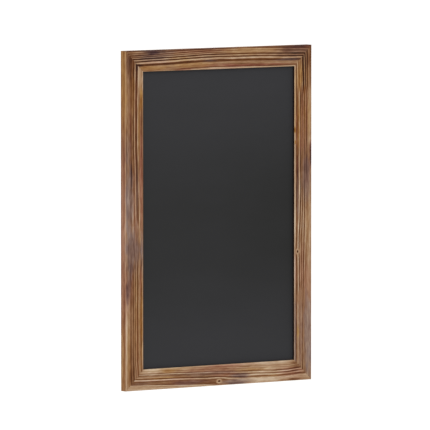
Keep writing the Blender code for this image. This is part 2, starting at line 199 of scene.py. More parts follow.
def end_tree(tree, geometry, material):
    """Ends a tree: instances become real, shaded smooth except over sharp edges, and get their material."""
    geometry = add_node(tree, "GeometryNodeRealizeInstances", [geometry])
    edge_angle = add_node(tree, "GeometryNodeInputMeshEdgeAngle").outputs["Unsigned Angle"]
    soft = add_node(tree, "FunctionNodeCompare", (edge_angle, SHARP_ANGLE), operation="LESS_THAN")
    for smooth, domain in ((True, "FACE"), (soft, "EDGE")):
        shading = {"Geometry": geometry, "Shade Smooth": smooth}
        geometry = add_node(tree, "GeometryNodeSetShadeSmooth", shading, domain=domain)
    geometry = add_node(tree, "GeometryNodeSetMaterial", {"Geometry": geometry, "Material": material})
    add_node(tree, "NodeGroupOutput", [geometry])


# %% [markdown]
# ## Torched softwood
#
# Flat sawn pine or fir, torched, brushed and left matte. Three things give it away: the tone goes from
# charred summer growth to pale spring growth in narrow lines, the hue wanders between plain tan, resinous
# amber, reddish brown and a smoky mauve grey, and the corners are rubbed pale. The mesh will carry what the
# wood knows about itself in attributes: `tone` (dark 0 to pale 1), how much `char`, `smoke`, `amber`, `red`
# and `bare` wood there is, `grain` (millimetres along the board, across its growth rings and through its
# depth) and `knot` (the place relative to the knot, in its radii). The material only turns those into
# colours. It adds the fibres and the knots' own rings, which are too fine for the mesh. Real fibres are a few
# hundredths of a millimetre wide. They are drawn as bundles of 0.7 mm, because nothing finer would show.

# %% Material of the frame
FIBRE_SIZE = (22, 0.7, 0.7)
STREAK_SIZE = (70, 1.9, 1.9)
FIBRE_TONE = 0.12
STREAK_TONE = 0.07
FIBRE_RELIEF = 0.12 * MM
FIBRE_BUMP = 0.6
NOISE_SPAN = (0.3, 0.7)
LIVELY = {"detail": 3, "roughness": 0.6}
KNOT_RINGS = 3.2
KNOT_RING_TONE = 0.13
KNOT_RING_ENDS = (1.3, 0.8)
KNOT_CORE_EDGE = (0.56, 0.4)
KNOT_CORE_TONES = (0.02, 0.24)
KNOT_UNEVEN = 0.13
KNOT_UNEVEN_SCALE = 1.2
WOOD_IOR = 1.5
WOOD_SPECULAR = 0.15
WOOD_ROUGHNESS = (0.55, 0.75)
PLAIN = (
    (0, "#351706"), (0.2, "#5b3013"), (0.4, "#835737"), (0.6, "#a67e5b"), (0.8, "#c4a282"), (1, "#e3ccb0"),
)
HUES = {
    "red": (
        (0, "#401c0f"), (0.2, "#66311d"), (0.4, "#8c543f"), (0.6, "#ad7a60"), (0.8, "#cba088"), (1, "#e6cbb8")
    ),
    "amber": (
        (0, "#3f2008"), (0.2, "#66380f"), (0.4, "#8b5622"), (0.6, "#aa793e"), (0.8, "#c79d5f"), (1, "#dfc28c")
    ),
    "smoke": (
        (0, "#33231f"), (0.2, "#533b34"), (0.4, "#735850"), (0.6, "#93796f"), (0.8, "#b09a8c"), (1, "#cdbcae")
    ),
    "char": ((0, "#1b100f"), (0.45, "#3b202a"), (1, "#6a4a50")),
    "bare": ((0, "#9a7045"), (0.4, "#bf9867"), (0.8, "#d6b689"), (1, "#e4cca4")),
}


def noise_over(tree, place, scale, detail=2, roughness=0.5):
    """Noise with so many grains to the unit of the place, along X, Y and Z."""
    scaled = add_node(tree, "ShaderNodeVectorMath", (place, scale), operation="MULTIPLY")
    feeds = {"Vector": scaled, "Scale": 1, "Detail": detail, "Roughness": roughness}
    return add_node(tree, "ShaderNodeTexNoise", feeds)


def noise_at(tree, place, size, **settings):
    """Noise whose grains have the given sizes, along X, Y and Z or all round, in the unit of the place."""
    sizes = size if isinstance(size, tuple) else (size, size, size)
    return noise_over(tree, place, tuple(1 / length for length in sizes), **settings)


def tone_in_knot(tree, tone, fibres):
    """The tone with the knot drawn in: a dark core inside rings of its own, both a little out of round."""
    add = partial(add_node, tree)
    knot = add("ShaderNodeAttribute", attribute_name="knot").outputs["Vector"]
    uneven = {"Vector": knot, "Scale": KNOT_UNEVEN_SCALE, "Detail": 1, "Roughness": 0.5}
    uneven = add("ShaderNodeTexNoise", uneven)
    uneven = add("ShaderNodeMapRange", (uneven, *NOISE_SPAN, -KNOT_UNEVEN, KNOT_UNEVEN))
    off_knot = add("ShaderNodeVectorMath", [knot], operation="LENGTH").outputs["Value"]
    off_knot = add("ShaderNodeMath", (off_knot, uneven), operation="ADD")
    rings = add("ShaderNodeMath", (off_knot, KNOT_RINGS * 2 * math.pi), operation="MULTIPLY")
    rings = add("ShaderNodeMath", [rings], operation="SINE")
    fade = add("ShaderNodeMapRange", (off_knot, *KNOT_RING_ENDS, 0, KNOT_RING_TONE),
               interpolation_type="SMOOTHSTEP")
    tone = add("ShaderNodeMath", (rings, fade, tone), operation="MULTIPLY_ADD", use_clamp=True)
    core = add("ShaderNodeMapRange", (off_knot, *KNOT_CORE_EDGE, 0, 1), interpolation_type="SMOOTHSTEP")
    core_tone = add("ShaderNodeMapRange", (fibres, *NOISE_SPAN, *KNOT_CORE_TONES))
    return add("ShaderNodeMix", (core, tone, core_tone))


def hues_over(tree, tone):
    """The colours of that tone: plain wood, with each other hue laid over it where the mesh says so."""
    colour = add_node(tree, "ShaderNodeValToRGB", [tone])
    set_ramp(colour, PLAIN)
    for hue, stops in HUES.items():
        ramp = add_node(tree, "ShaderNodeValToRGB", [tone])
        set_ramp(ramp, stops)
        amount = add_node(tree, "ShaderNodeAttribute", attribute_name=hue).outputs["Fac"]
        colour = add_node(tree, "ShaderNodeMix", (amount, colour, ramp), data_type="RGBA")
    return colour


def torched_softwood():
    """Wood whose tone, hue and relief follow the growth rings that the mesh carries."""
    material = bpy.data.materials.new("torched_softwood")
    material.use_nodes = True
    tree = material.node_tree
    add = partial(add_node, tree)
    grain = add("ShaderNodeAttribute", attribute_name="grain").outputs["Vector"]
    tone = add("ShaderNodeAttribute", attribute_name="tone").outputs["Fac"]
    fibres = noise_at(tree, grain, FIBRE_SIZE, **LIVELY)
    streaks = noise_at(tree, grain, STREAK_SIZE)
    fine = add("ShaderNodeMapRange", (fibres, *NOISE_SPAN, -FIBRE_TONE, FIBRE_TONE))
    broad = add("ShaderNodeMapRange", (streaks, *NOISE_SPAN, -STREAK_TONE, STREAK_TONE))
    tone = add("ShaderNodeMath", (tone, fine), operation="ADD")
    tone = add("ShaderNodeMath", (tone, broad), operation="ADD", use_clamp=True)
    tone = tone_in_knot(tree, tone, fibres)
    roughness = add("ShaderNodeMapRange", (tone, 0, 1, *WOOD_ROUGHNESS))
    bump = add("ShaderNodeBump", {"Strength": FIBRE_BUMP, "Distance": FIBRE_RELIEF, "Height": fibres})
    feed(tree, tree.nodes["Principled BSDF"], {
        "Base Color": hues_over(tree, tone), "Roughness": roughness, "Normal": bump, "IOR": WOOD_IOR,
        "Specular IOR Level": WOOD_SPECULAR,
    })
    return material


WOOD = torched_softwood()
print("material:", WOOD.name, "with", len(WOOD.node_tree.nodes), "nodes")

# %% [markdown]
# ## The section of the moulding
#
# The frame is cut from one moulding, so one outline serves all four lengths. Its points are drawn close
# together where the brushed relief will need them, on the face and the edges, and far apart on the plain
# back. X is the distance from the outer edge and Y the distance behind the face.

# %% Draw the section
FACE_STEP = 0.45 * MM
EDGE_STEP = 0.7 * MM
BACK_STEP = 3.2 * MM
ARC_STEPS = 6
BACK_ARRIS = 0.8 * MM
BACK_ARC_STEPS = 3


def stretch(start, end, step):
    """Points from one corner towards the next, without the last."""
    start, end = Vector(start), Vector(end)
    count = max(1, round((end - start).length / step))
    return [start.lerp(end, index / count) for index in range(count)]


def quarter(centre, radius, start_angle, steps):
    """Points on a quarter circle, without the last."""
    angles = [start_angle + math.pi / 2 * index / steps for index in range(steps)]
    return [Vector(centre) + radius * Vector((math.cos(a), math.sin(a))) for a in angles]


def moulding_section():
    """The points of the moulding's closed outline."""
    wall = FACE - RABBET
    return (
        quarter((ARRIS, ARRIS), ARRIS, math.pi, ARC_STEPS)
        + stretch((ARRIS, 0), (FACE - ARRIS, 0), FACE_STEP)
        + quarter((FACE - ARRIS, ARRIS), ARRIS, 3 * math.pi / 2, ARC_STEPS)
        + stretch((FACE, ARRIS), (FACE, LIP), EDGE_STEP)
        + stretch((FACE, LIP), (wall, LIP), BACK_STEP)
        + stretch((wall, LIP), (wall, DEPTH), BACK_STEP)
        + stretch((wall, DEPTH), (BACK_ARRIS, DEPTH), BACK_STEP)
        + quarter((BACK_ARRIS, DEPTH - BACK_ARRIS), BACK_ARRIS, math.pi / 2, BACK_ARC_STEPS)
        + stretch((0, DEPTH - BACK_ARRIS), (0, ARRIS), EDGE_STEP)
    )


def outline_object(name, points, closed):
    """An outline as a curve object for a tree to read. It is removed when the tree has run."""
    curve = bpy.data.curves.new(name, "CURVE")
    curve.dimensions = "2D"
    spline = curve.splines.new("POLY")
    spline.points.add(len(points) - 1)
    for point, (x, y) in zip(spline.points, points):
        point.co = (x, y, 0, 1)
    spline.use_cyclic_u = closed
    outline = bpy.data.objects.new(name, curve)
    bpy.context.scene.collection.objects.link(outline)
    return outline


SECTION = outline_object("moulding_section", moulding_section(), closed=True)
print("section:", len(SECTION.data.splines[0].points), "points")

# %% [markdown]
# ## What each length of wood looks like
#
# No two boards are alike, so each length gets its own page. The first line of its table puts the board in its
# place: `edge` is the middle of its outer edge, `turn` its turn about Y, `reads` is -1 where the sweep ends
# at the left or top end instead of starting there, and `seed` gives it noises of its own.
#
# Places along a board are centimetres from its left or top end. Places across it are shares of its face from
# the outer edge, and those below 0 lie round the corner, on the side. Tones go from 0, charred, to 1, pale.
#
# The `cuts` go through the growth rings and say how pale each one is, and `changes` are the places along the
# board where one cut gives way to the next. `crispness` makes narrow rings bolder, `shift` moves the whole
# pattern by some millimetres to the inner edge, and `arris_tones` are the tones of the rubbed outer and inner
# corner. The `drift` says how far the rings wander towards the inner edge, in millimetres, on one track or
# more across the board.
#
# Then come the `knot`, as its place and radius, and the marks that the torch, the resin and the wear have
# left. A mark is written as place along, place across, half its length, half its width and its strength.

# %% [markdown]
# ### The top rail
#
# Its lines arch from end to end and lie highest in the middle, and the outer ones fade in the right half. The
# flame has scorched the outer edge near the left end and left the right end reddish.

# %% Describe the top rail
MARK_KINDS = ("char", "smoke", "amber", "red", "paler", "bolder")
BOARDS = {}
BOARDS["top_rail"] = {
    "length": WIDTH, "turn": 0, "reads": 1, "edge": (0, TOP), "seed": 3,
    "crispness": 0.35, "shift": 0.2, "arris_tones": (0.28, 0.8),
    "cuts": (
        ((-0.16, 0.42), (-0.09, 0.32), (-0.04, 0.5), (0.01, 0.3), (0.035, 0.28), (0.07, 0.54), (0.1, 0.34),
         (0.135, 0.38), (0.165, 0.58), (0.195, 0.32), (0.24, 0.58), (0.29, 0.2), (0.32, 0.36), (0.355, 0.66),
         (0.4, 0.22), (0.435, 0.46), (0.48, 0.72), (0.52, 0.58), (0.545, 0.32), (0.58, 0.22), (0.61, 0.27),
         (0.645, 0.48), (0.69, 0.62), (0.75, 0.54), (0.82, 0.52), (0.88, 0.36), (0.905, 0.42), (0.935, 0.8),
         (1.1, 0.78)),
        ((-0.16, 0.42), (-0.09, 0.36), (-0.03, 0.4), (0.01, 0.34), (0.04, 0.46), (0.08, 0.6), (0.13, 0.52),
         (0.18, 0.62), (0.235, 0.58), (0.29, 0.26), (0.32, 0.36), (0.355, 0.66), (0.4, 0.28), (0.435, 0.46),
         (0.48, 0.72), (0.52, 0.58), (0.545, 0.32), (0.58, 0.23), (0.61, 0.27), (0.645, 0.48), (0.69, 0.58),
         (0.76, 0.5), (0.82, 0.42), (0.88, 0.3), (0.905, 0.4), (0.935, 0.8), (1.1, 0.78)),
    ),
    "changes": ((26, 29.5),),
    "drift": (
        (0.5, ((0, 5.9), (5, 4.8), (10, 3.7), (15, 2.2), (20, 0.7), (25, 0), (30, 0.2), (35, 1), (40, 2.1),
               (45, 3.4), (51, 5))),
    ),
    "knot": None,
    "char": ((7.7, 0.05, 2.7, 0.17, 0.85), (7, 0.3, 3.4, 0.2, 0.25), (48, 0.03, 4, 0.07, 0.3)),
    "smoke": ((8, 0.2, 5, 0.35, 0.4), (46, 0.2, 5, 0.3, 0.4), (22.6, 0.58, 2, 0.06, 0.8),
              (44.5, 0.66, 4, 0.07, 0.9)),
    "amber": ((34, 0.15, 9, 0.22, 0.35), (15, 0.45, 4, 0.16, 0.35), (7, 0.84, 5, 0.12, 0.6),
              (18, 0.75, 6, 0.14, 0.5), (34, 0.6, 9, 0.05, 0.5)),
    "red": ((48, 0.05, 5, 0.1, 0.8), (34, 0.86, 11, 0.07, 0.9), (24, 0.8, 6, 0.08, 0.5),
            (16, 0.96, 2.5, 0.07, 0.8), (20, 0.1, 8, 0.14, 0.4), (8, 0.56, 5, 0.07, 0.4),
            (26, 0.96, 7, 0.04, 0.5)),
    "paler": ((34, 0.12, 7.5, 0.17, 0.06), (24, 0.47, 7, 0.05, -0.05), (47, 0.26, 5.5, 0.38, -0.2),
              (3, 0.3, 4, 0.4, -0.1), (3.5, 0.12, 2, 0.1, 0.14), (8, 0.97, 7, 0.06, -0.18),
              (9.5, 0.9, 3, 0.07, 0.1), (5, 0.79, 2.4, 0.08, -0.06), (8.4, 0.32, 3.4, 0.1, -0.08),
              (15.5, 0.97, 2.6, 0.07, -0.2), (3.4, 0.7, 1.4, 0.08, -0.16), (20.5, 0.05, 4, 0.08, -0.11),
              (8, 0.05, 3, 0.06, -0.06), (33, 0.77, 9, 0.09, -0.07), (43.5, 0.2, 3.4, 0.12, -0.07)),
    "bolder": ((10, 0.4, 12, 0.4, 0.15), (46, 0.2, 5, 0.25, -0.15)),
}
print("top rail:", sum(len(BOARDS["top_rail"][kind]) for kind in MARK_KINDS), "marks")

# %% [markdown]
# ### The bottom rail
#
# The palest length. Its lines fall from left to right, steepest near the outer edge, and bend round a small
# knot in the middle. Right of the knot the wood is smoky, and past that it is rubbed pale.

# %% Describe the bottom rail
BOARDS["bottom_rail"] = {
    "length": WIDTH, "turn": math.pi, "reads": -1, "edge": (0, BOTTOM), "seed": 11,
    "crispness": 0.6, "shift": 1.2, "arris_tones": (0.8, 0.78),
    "cuts": (
        ((-0.2, 0.7), (-0.1, 0.7), (-0.04, 0.66), (0.0, 0.78), (0.02, 0.74), (0.045, 0.4), (0.07, 0.34),
         (0.14, 0.38), (0.2, 0.36), (0.25, 0.38), (0.275, 0.56), (0.305, 0.78), (0.34, 0.7), (0.375, 0.38),
         (0.405, 0.38), (0.44, 0.58), (0.47, 0.52), (0.5, 0.37), (0.53, 0.5), (0.56, 0.37), (0.6, 0.7),
         (0.645, 0.46), (0.68, 0.62), (0.75, 0.58), (0.82, 0.66), (0.87, 0.59), (0.93, 0.7), (1.15, 0.68)),
        ((-0.2, 0.62), (-0.1, 0.6), (0.0, 0.6), (0.08, 0.66), (0.15, 0.74), (0.22, 0.76), (0.28, 0.74),
         (0.315, 0.62), (0.35, 0.42), (0.38, 0.42), (0.42, 0.66), (0.455, 0.7), (0.5, 0.42), (0.53, 0.46),
         (0.565, 0.7), (0.6, 0.6), (0.64, 0.47), (0.69, 0.62), (0.74, 0.57), (0.79, 0.66), (0.84, 0.59),
         (0.9, 0.68), (0.96, 0.72), (1.15, 0.68)),
    ),
    "changes": ((27, 33),),
    "drift": (
        (0.2, ((0, 12.4), (2, 11.4), (5, 9.8), (8, 8.5), (12, 6), (16, 4), (20, 2.8), (24, 1), (30, -1.4),
               (33, -1.8), (36, -2.4), (40, -3.4), (43, -3.6), (47, -1.2), (51, -0.6))),
        (0.4, ((0, 7.2), (3, 6.8), (10, 5.4), (15, 4.4), (20, 3.1), (23, 2), (25, 1), (28, -0.8), (31, -2.2),
               (36, -2.6), (40, -3.6), (43, -3.8), (47, -1.4), (51, -0.6))),
        (1, ((0, 4.5), (5, 4.2), (10, 3.6), (15, 2.7), (20, 1.8), (25, 0.3), (30, -0.6), (36, -1.6),
             (40, -2.6), (43, -2.8), (47, -0.8), (51, 0))),
    ),
    "knot": (25.3, 0.185, 4.6),
    "char": ((29.8, 0.02, 2.6, 0.07, 0.4), (31, 0.36, 2, 0.05, 0.3), (32, 0.48, 1.8, 0.05, 0.25)),
    "smoke": ((17, 0.22, 5, 0.12, 0.5), (30.2, 0.12, 4.2, 0.15, 0.8), (31, 0.4, 3, 0.12, 0.7),
              (22, 0.6, 8, 0.12, 0.35), (4, 0.3, 3, 0.06, 0.3)),
    "amber": ((11.5, 0.8, 2.4, 0.1, 0.45), (40, 0.3, 6, 0.06, 0.4), (34, 0.65, 5, 0.1, 0.4),
              (10, 0.5, 6, 0.06, 0.6), (12, 0.9, 6, 0.1, 0.3)),
    "red": ((17, 0.24, 6, 0.12, 0.6), (24, 0.78, 8, 0.2, 0.55), (10, 0.42, 9, 0.05, 0.6),
            (45, 0.4, 4, 0.3, 0.6), (29, 0.93, 6, 0.06, 0.7), (27, 0.5, 4, 0.14, 0.5)),
    "paler": ((5, 0.08, 6, 0.12, 0.05), (7.4, 0.86, 3, 0.16, 0.26), (39.4, 0.8, 5.4, 0.26, 0.16),
              (38, 0.15, 5, 0.14, 0.17), (15, 0.05, 3.5, 0.08, 0.06), (7, 0.59, 5, 0.09, 0.15),
              (21, 0.4, 4, 0.1, -0.12), (26.5, 0.6, 4, 0.08, -0.11), (25, 0.76, 7, 0.1, -0.08),
              (43.5, 0.1, 3, 0.1, -0.07), (43.2, 0.54, 3, 0.06, -0.07), (40.6, 0.33, 2.6, 0.06, 0.07),
              (27, 0.92, 4, 0.06, -0.08), (37, 0.4, 5.5, 0.12, 0.12), (38.5, 0.6, 4, 0.08, 0.07),
              (46.4, 0.45, 3.4, 0.5, -0.1), (45.5, 0.04, 1.6, 0.06, -0.28), (32, 0.1, 2.6, 0.12, -0.12),
              (26.9, 0.17, 2.2, 0.14, 0.17), (11.2, 0.95, 3.4, 0.06, 0.09), (28.7, 0.32, 2.6, 0.06, -0.07),
              (6, 0.28, 7, 0.06, 0.07), (48, 0.48, 0.9, 0.15, 0.18), (31.5, 0.42, 2.6, 0.14, -0.1),
              (23.5, 0.8, 6, 0.2, -0.03), (47, 0.8, 2.4, 0.3, -0.12)),
    "bolder": ((8, 0.9, 6, 0.14, -0.5), (39, 0.85, 6, 0.2, -0.4), (45, 0.4, 4, 0.25, 0.3),
               (48, 0.5, 0.9, 0.2, -0.7)),
}
print("bottom rail:", sum(len(BOARDS["bottom_rail"][kind]) for kind in MARK_KINDS), "marks")

# %% [markdown]
# ### The left stile
#
# The only length of which a side shows. Its outer lines run straight, and the inner ones swing out and in
# again in the upper half. A smoky stretch hides the lines around the middle, and below it they are calm and
# amber. The side is orange brown, because it took less of the flame.

# %% Describe the left stile
BOARDS["left_stile"] = {
    "length": HEIGHT, "turn": -math.pi / 2, "reads": -1, "edge": (-WIDTH / 2, MIDDLE), "seed": 23,
    "crispness": 0.5, "shift": 0.9, "arris_tones": (0.7, 0.52),
    "cuts": (
        ((-0.15, 0.48), (-0.02, 0.54), (0.05, 0.5), (0.1, 0.52), (0.19, 0.48), (0.245, 0.36), (0.275, 0.42),
         (0.31, 0.34), (0.355, 0.44), (0.425, 0.32), (0.455, 0.44), (0.485, 0.58), (0.515, 0.4),
         (0.535, 0.28), (0.56, 0.2), (0.585, 0.2), (0.61, 0.3), (0.635, 0.56), (0.66, 0.68), (0.7, 0.54),
         (0.75, 0.5), (0.81, 0.48), (0.87, 0.38), (0.93, 0.44), (1.1, 0.4)),
        ((-0.15, 0.58), (0, 0.6), (0.08, 0.64), (0.15, 0.62), (0.2, 0.56), (0.25, 0.42), (0.29, 0.4),
         (0.34, 0.52), (0.38, 0.44), (0.42, 0.32), (0.47, 0.52), (0.53, 0.36), (0.58, 0.58), (0.645, 0.31),
         (0.7, 0.54), (0.755, 0.6), (0.8, 0.48), (0.86, 0.38), (0.9, 0.48), (0.935, 0.68), (0.98, 0.5),
         (1.1, 0.4)),
    ),
    "changes": ((38, 48),),
    "drift": (
        (0.25, ((0, 0), (68, 0), (72, 1), (76.2, 2.4))),
        (1, ((0, 4.5), (3, 4.2), (5, 3.7), (10, 2), (15, 0.3), (19, -0.4), (22, 0.4), (25, 2.4), (30, 4.6),
             (35, 6.4), (38, 7), (44, 4), (50, 0), (68, 0), (72, 2), (76.2, 3.4))),
    ),
    "knot": None,
    "char": ((2.6, 0.12, 2, 0.14, 0.25), (54.2, 0.04, 2.6, 0.1, 0.6), (27.4, 0.31, 3.4, 0.04, 0.25),
             (3.2, 0.62, 1.5, 0.1, 0.4)),
    "smoke": ((34, 0.2, 8, 0.26, 0.8), (34, 0.05, 12, 0.07, 0.5), (44.5, 0.35, 5, 0.5, 0.8),
              (23, 0.12, 5, 0.2, 0.4), (52, 0.16, 4.5, 0.16, 0.6), (31, 0.62, 7, 0.06, 0.6),
              (4, 0.1, 4, 0.2, 0.15), (45, 0.9, 5, 0.1, 0.5)),
    "amber": ((10.6, 0.86, 3.4, 0.1, 0.9), (18, 0.74, 7, 0.06, 0.6), (61, 0.86, 11, 0.07, 0.9),
              (62, 0.6, 12, 0.2, 0.4), (10, 0.35, 6, 0.14, 0.4), (6, 0.44, 4, 0.05, 0.6),
              (6, -0.25, 14, 0.3, 0.8), (69, -0.25, 12, 0.2, 0.55), (69, 0.16, 8, 0.12, 0.4),
              (17, 0.57, 8, 0.05, 0.4)),
    "red": ((28, 0.86, 14, 0.1, 0.95), (18, 0.24, 8, 0.06, 0.5), (52, 0.84, 4, 0.08, 0.8),
            (52, 0.25, 5, 0.15, 0.4), (66, 0.62, 9, 0.1, 0.45), (53.5, 0.08, 4, 0.16, 0.7),
            (40, 0.5, 6, 0.2, 0.4), (14, 0.57, 10, 0.07, 0.5), (44, -0.25, 32, 0.3, 0.7),
            (30, 0.5, 7, 0.14, 0.3)),
    "paler": ((5.8, 0.83, 4.2, 0.18, 0.16), (6.4, 0.95, 3, 0.05, 0.3), (35, 0.64, 8, 0.05, 0.16),
              (36.5, 0.7, 6, 0.05, 0.16), (40.5, 0.48, 4, 0.05, 0.06), (36, 0.4, 6, 0.12, 0.16),
              (32.5, 0.2, 4, 0.12, 0.09), (15, 0.6, 4, 0.06, -0.08), (50.8, 0.05, 4, 0.08, -0.13),
              (57, 0.91, 13, 0.07, 0.09), (69.6, 0.92, 4, 0.08, 0.18), (9.6, 0.92, 3.6, 0.07, 0.13),
              (2.6, 0.54, 2.2, 0.07, -0.08), (38.4, 0.36, 2.6, 0.09, 0.07), (54.4, 0.14, 2.4, 0.08, -0.08),
              (44.5, 0.92, 3.4, 0.06, 0.1), (26, 0.8, 4, 0.12, -0.05), (51, 0.76, 3.4, 0.09, -0.06),
              (2.8, 0.22, 4, 0.24, -0.16), (4, 0.62, 4, 0.05, -0.08), (64, 0.12, 9, 0.12, 0.06),
              (34, 0.3, 5, 0.25, 0.04), (17, 0.25, 3.4, 0.04, -0.1), (70, 0.42, 3, 0.05, -0.1),
              (45, 0.4, 4, 0.5, -0.04), (56, 0.99, 22, 0.03, -0.14), (38, -0.3, 60, 0.26, -0.06),
              (42, -0.12, 4, 0.12, 0.12), (57, -0.2, 6, 0.26, -0.1), (11, -0.2, 8, 0.2, 0.09),
              (33, -0.22, 5, 0.22, 0.09), (50, -0.3, 5, 0.12, -0.1), (66, -0.16, 11, 0.1, -0.09),
              (65, 0.02, 13, 0.045, 0.19), (69, 0.17, 7, 0.12, -0.09), (38.5, -0.2, 3.4, 0.24, 0.09),
              (62.5, -0.3, 3.4, 0.14, -0.08), (2, -0.3, 4.5, 0.14, 0.1), (24, 0.02, 9, 0.05, -0.18),
              (74, 0.28, 3, 0.24, -0.09), (51, 0.28, 4, 0.14, -0.1), (31, 0.72, 7, 0.05, -0.1),
              (27.4, 0.31, 3.4, 0.04, -0.14), (52.6, 0.1, 4, 0.12, -0.12), (40, 0.2, 3, 0.2, 0.08)),
    "bolder": ((44, 0.4, 6, 0.6, -0.75), (60, 0.5, 16, 0.4, -0.2), (5, 0.35, 4, 0.2, 0.3)),
}
print("left stile:", sum(len(BOARDS["left_stile"][kind]) for kind in MARK_KINDS), "marks")

# %% [markdown]
# ### The right stile
#
# The boldest lines of all, nearly black at the top. They run straight to the middle and drift inwards below
# it, round a small knot beside the lip. The lower end is smoky and faint.

# %% Describe the right stile
BOARDS["right_stile"] = {
    "length": HEIGHT, "turn": math.pi / 2, "reads": 1, "edge": (WIDTH / 2, MIDDLE), "seed": 41,
    "crispness": 0.8, "shift": 1.4, "arris_tones": (0.5, 0.8),
    "cuts": (
        ((-0.15, 0.5), (0.0, 0.5), (0.05, 0.44), (0.1, 0.54), (0.15, 0.52), (0.19, 0.32), (0.225, 0.26),
         (0.255, 0.42), (0.29, 0.54), (0.315, 0.22), (0.35, 0.22), (0.375, 0.5), (0.395, 0.56), (0.415, 0.3),
         (0.43, 0.08), (0.5, 0.06), (0.52, 0.32), (0.55, 0.6), (0.575, 0.42), (0.62, 0.6), (0.685, 0.44),
         (0.74, 0.54), (0.8, 0.62), (0.86, 0.44), (0.9, 0.6), (0.94, 0.76), (1.1, 0.74)),
        ((-0.15, 0.56), (0.0, 0.6), (0.06, 0.62), (0.12, 0.62), (0.18, 0.56), (0.22, 0.48), (0.265, 0.36),
         (0.33, 0.5), (0.36, 0.4), (0.375, 0.26), (0.395, 0.26), (0.43, 0.5), (0.5, 0.36), (0.535, 0.52),
         (0.565, 0.42), (0.59, 0.42), (0.61, 0.25), (0.635, 0.25), (0.655, 0.46), (0.69, 0.62), (0.74, 0.46),
         (0.79, 0.4), (0.865, 0.4), (0.9, 0.56), (0.935, 0.74), (1.1, 0.72)),
        ((-0.15, 0.58), (0.0, 0.6), (0.1, 0.62), (0.2, 0.56), (0.26, 0.52), (0.31, 0.58), (0.35, 0.48),
         (0.387, 0.28), (0.43, 0.56), (0.493, 0.4), (0.54, 0.56), (0.598, 0.3), (0.66, 0.7), (0.71, 0.52),
         (0.76, 0.42), (0.82, 0.36), (0.88, 0.44), (0.925, 0.74), (1.1, 0.7)),
    ),
    "changes": ((8.5, 11.5), (27, 32)),
    "drift": (
        (0.3, ((0, 1.4), (3, 1.2), (9, 0.6), (12, 0), (43, 0), (47, 1.4), (50, 2.6), (56, 4), (60, 5),
               (76.2, 5))),
        (0.5, ((0, 2), (3, 1.2), (6, 0), (9.5, -1.2), (12, 0), (30, 0), (38, 1), (46.7, 2.6), (50, 3),
               (56, 4), (60, 5), (76.2, 5))),
        (0.72, ((0, 3), (4, 2), (9, 0), (12, -0.4), (30, 0), (35, 0.9), (38, 1.9), (41, 3), (43, 4.8),
                (44.5, 5.8), (46.7, 6.6), (48, 6.2), (49.5, 4.8), (52, 4.2), (56, 4.6), (60, 5), (76.2, 5))),
        (1, ((0, 0), (76.2, 0))),
    ),
    "knot": (46.8, 0.785, 4.3),
    "char": ((24.8, 0.02, 2.6, 0.07, 0.55), (27, 0.3, 3, 0.2, 0.12), (3, 0.48, 2.4, 0.05, 0.3)),
    "smoke": ((30, 0.28, 6.5, 0.26, 0.65), (65, 0.2, 9, 0.26, 0.8), (73, 0.12, 4, 0.2, 0.5),
              (65, 0.6, 9, 0.1, 0.35), (33, 0.78, 7, 0.08, 0.6), (66, 0.93, 10, 0.08, 0.7)),
    "amber": ((18, 0.76, 8, 0.08, 0.8), (7, 0.7, 4, 0.14, 0.7), (65, 0.76, 1.8, 0.06, 0.9),
              (19.2, 0.95, 0.7, 0.06, 0.9), (22, 0.93, 0.6, 0.05, 0.9), (14, 0.93, 9, 0.06, 0.5),
              (17, 0.6, 6, 0.1, 0.35), (16, 0.14, 5, 0.12, 0.4), (41, 0.2, 7, 0.14, 0.15),
              (6, 0.5, 4, 0.14, 0.5), (15, 0.39, 8, 0.06, 0.7), (7, 0.22, 3, 0.08, 0.4)),
    "red": ((18, 0.45, 9, 0.24, 0.5), (24.8, 0.02, 3.4, 0.08, 0.9), (19, 0.86, 5, 0.05, 0.8),
            (27.5, 0.8, 2.6, 0.07, 0.7), (51.5, 0.93, 5, 0.06, 0.8), (55, 0.2, 6, 0.2, 0.5),
            (60, 0.6, 12, 0.3, 0.2), (50, 0.5, 5, 0.2, 0.3), (28, 0.25, 4, 0.2, 0.4),
            (22, 0.62, 6, 0.04, 0.7)),
    "paler": ((14, 0.08, 7, 0.1, 0.08), (43, 0.05, 10, 0.08, 0.08), (40.5, 0.38, 5.5, 0.14, 0.15),
              (39, 0.6, 4, 0.08, 0.06), (40, 0.92, 5.5, 0.07, 0.18), (29, 0.75, 5, 0.09, -0.06),
              (24.5, 0.11, 2.4, 0.08, -0.13), (69, 0.03, 5, 0.06, -0.08), (26.6, 0.62, 2.6, 0.07, -0.09),
              (39.2, 0.8, 3, 0.07, 0.07), (68, 0.76, 7, 0.09, 0.06), (24.8, 0.02, 2.6, 0.07, -0.25),
              (62, 0.6, 10, 0.25, 0.05), (1.5, 0.18, 4.5, 0.26, -0.15), (27.5, 0.18, 3.6, 0.24, -0.13),
              (43, 0.15, 7, 0.16, 0.05), (45, 0.41, 9, 0.05, 0.09), (46, 0.68, 9, 0.04, 0.06),
              (27.5, 0.8, 3, 0.06, -0.12), (65, 0.93, 10, 0.08, -0.1), (51.5, 0.94, 4.5, 0.06, 0.12),
              (19.2, 0.95, 0.7, 0.06, -0.3), (22, 0.94, 0.6, 0.05, -0.2), (8, 0.58, 2, 0.04, -0.06),
              (65, 0.15, 8, 0.2, 0.1)),
    "bolder": ((5, 0.35, 6, 0.25, 0.1), (65, 0.2, 9, 0.26, -0.6), (64, 0.6, 12, 0.4, -0.4),
               (43, 0.1, 8, 0.15, -0.3), (30, 0.35, 6, 0.25, -0.3), (57, 0.5, 2, 0.4, -0.3)),
}
print("right stile:", sum(len(BOARDS["right_stile"][kind]) for kind in MARK_KINDS), "marks")

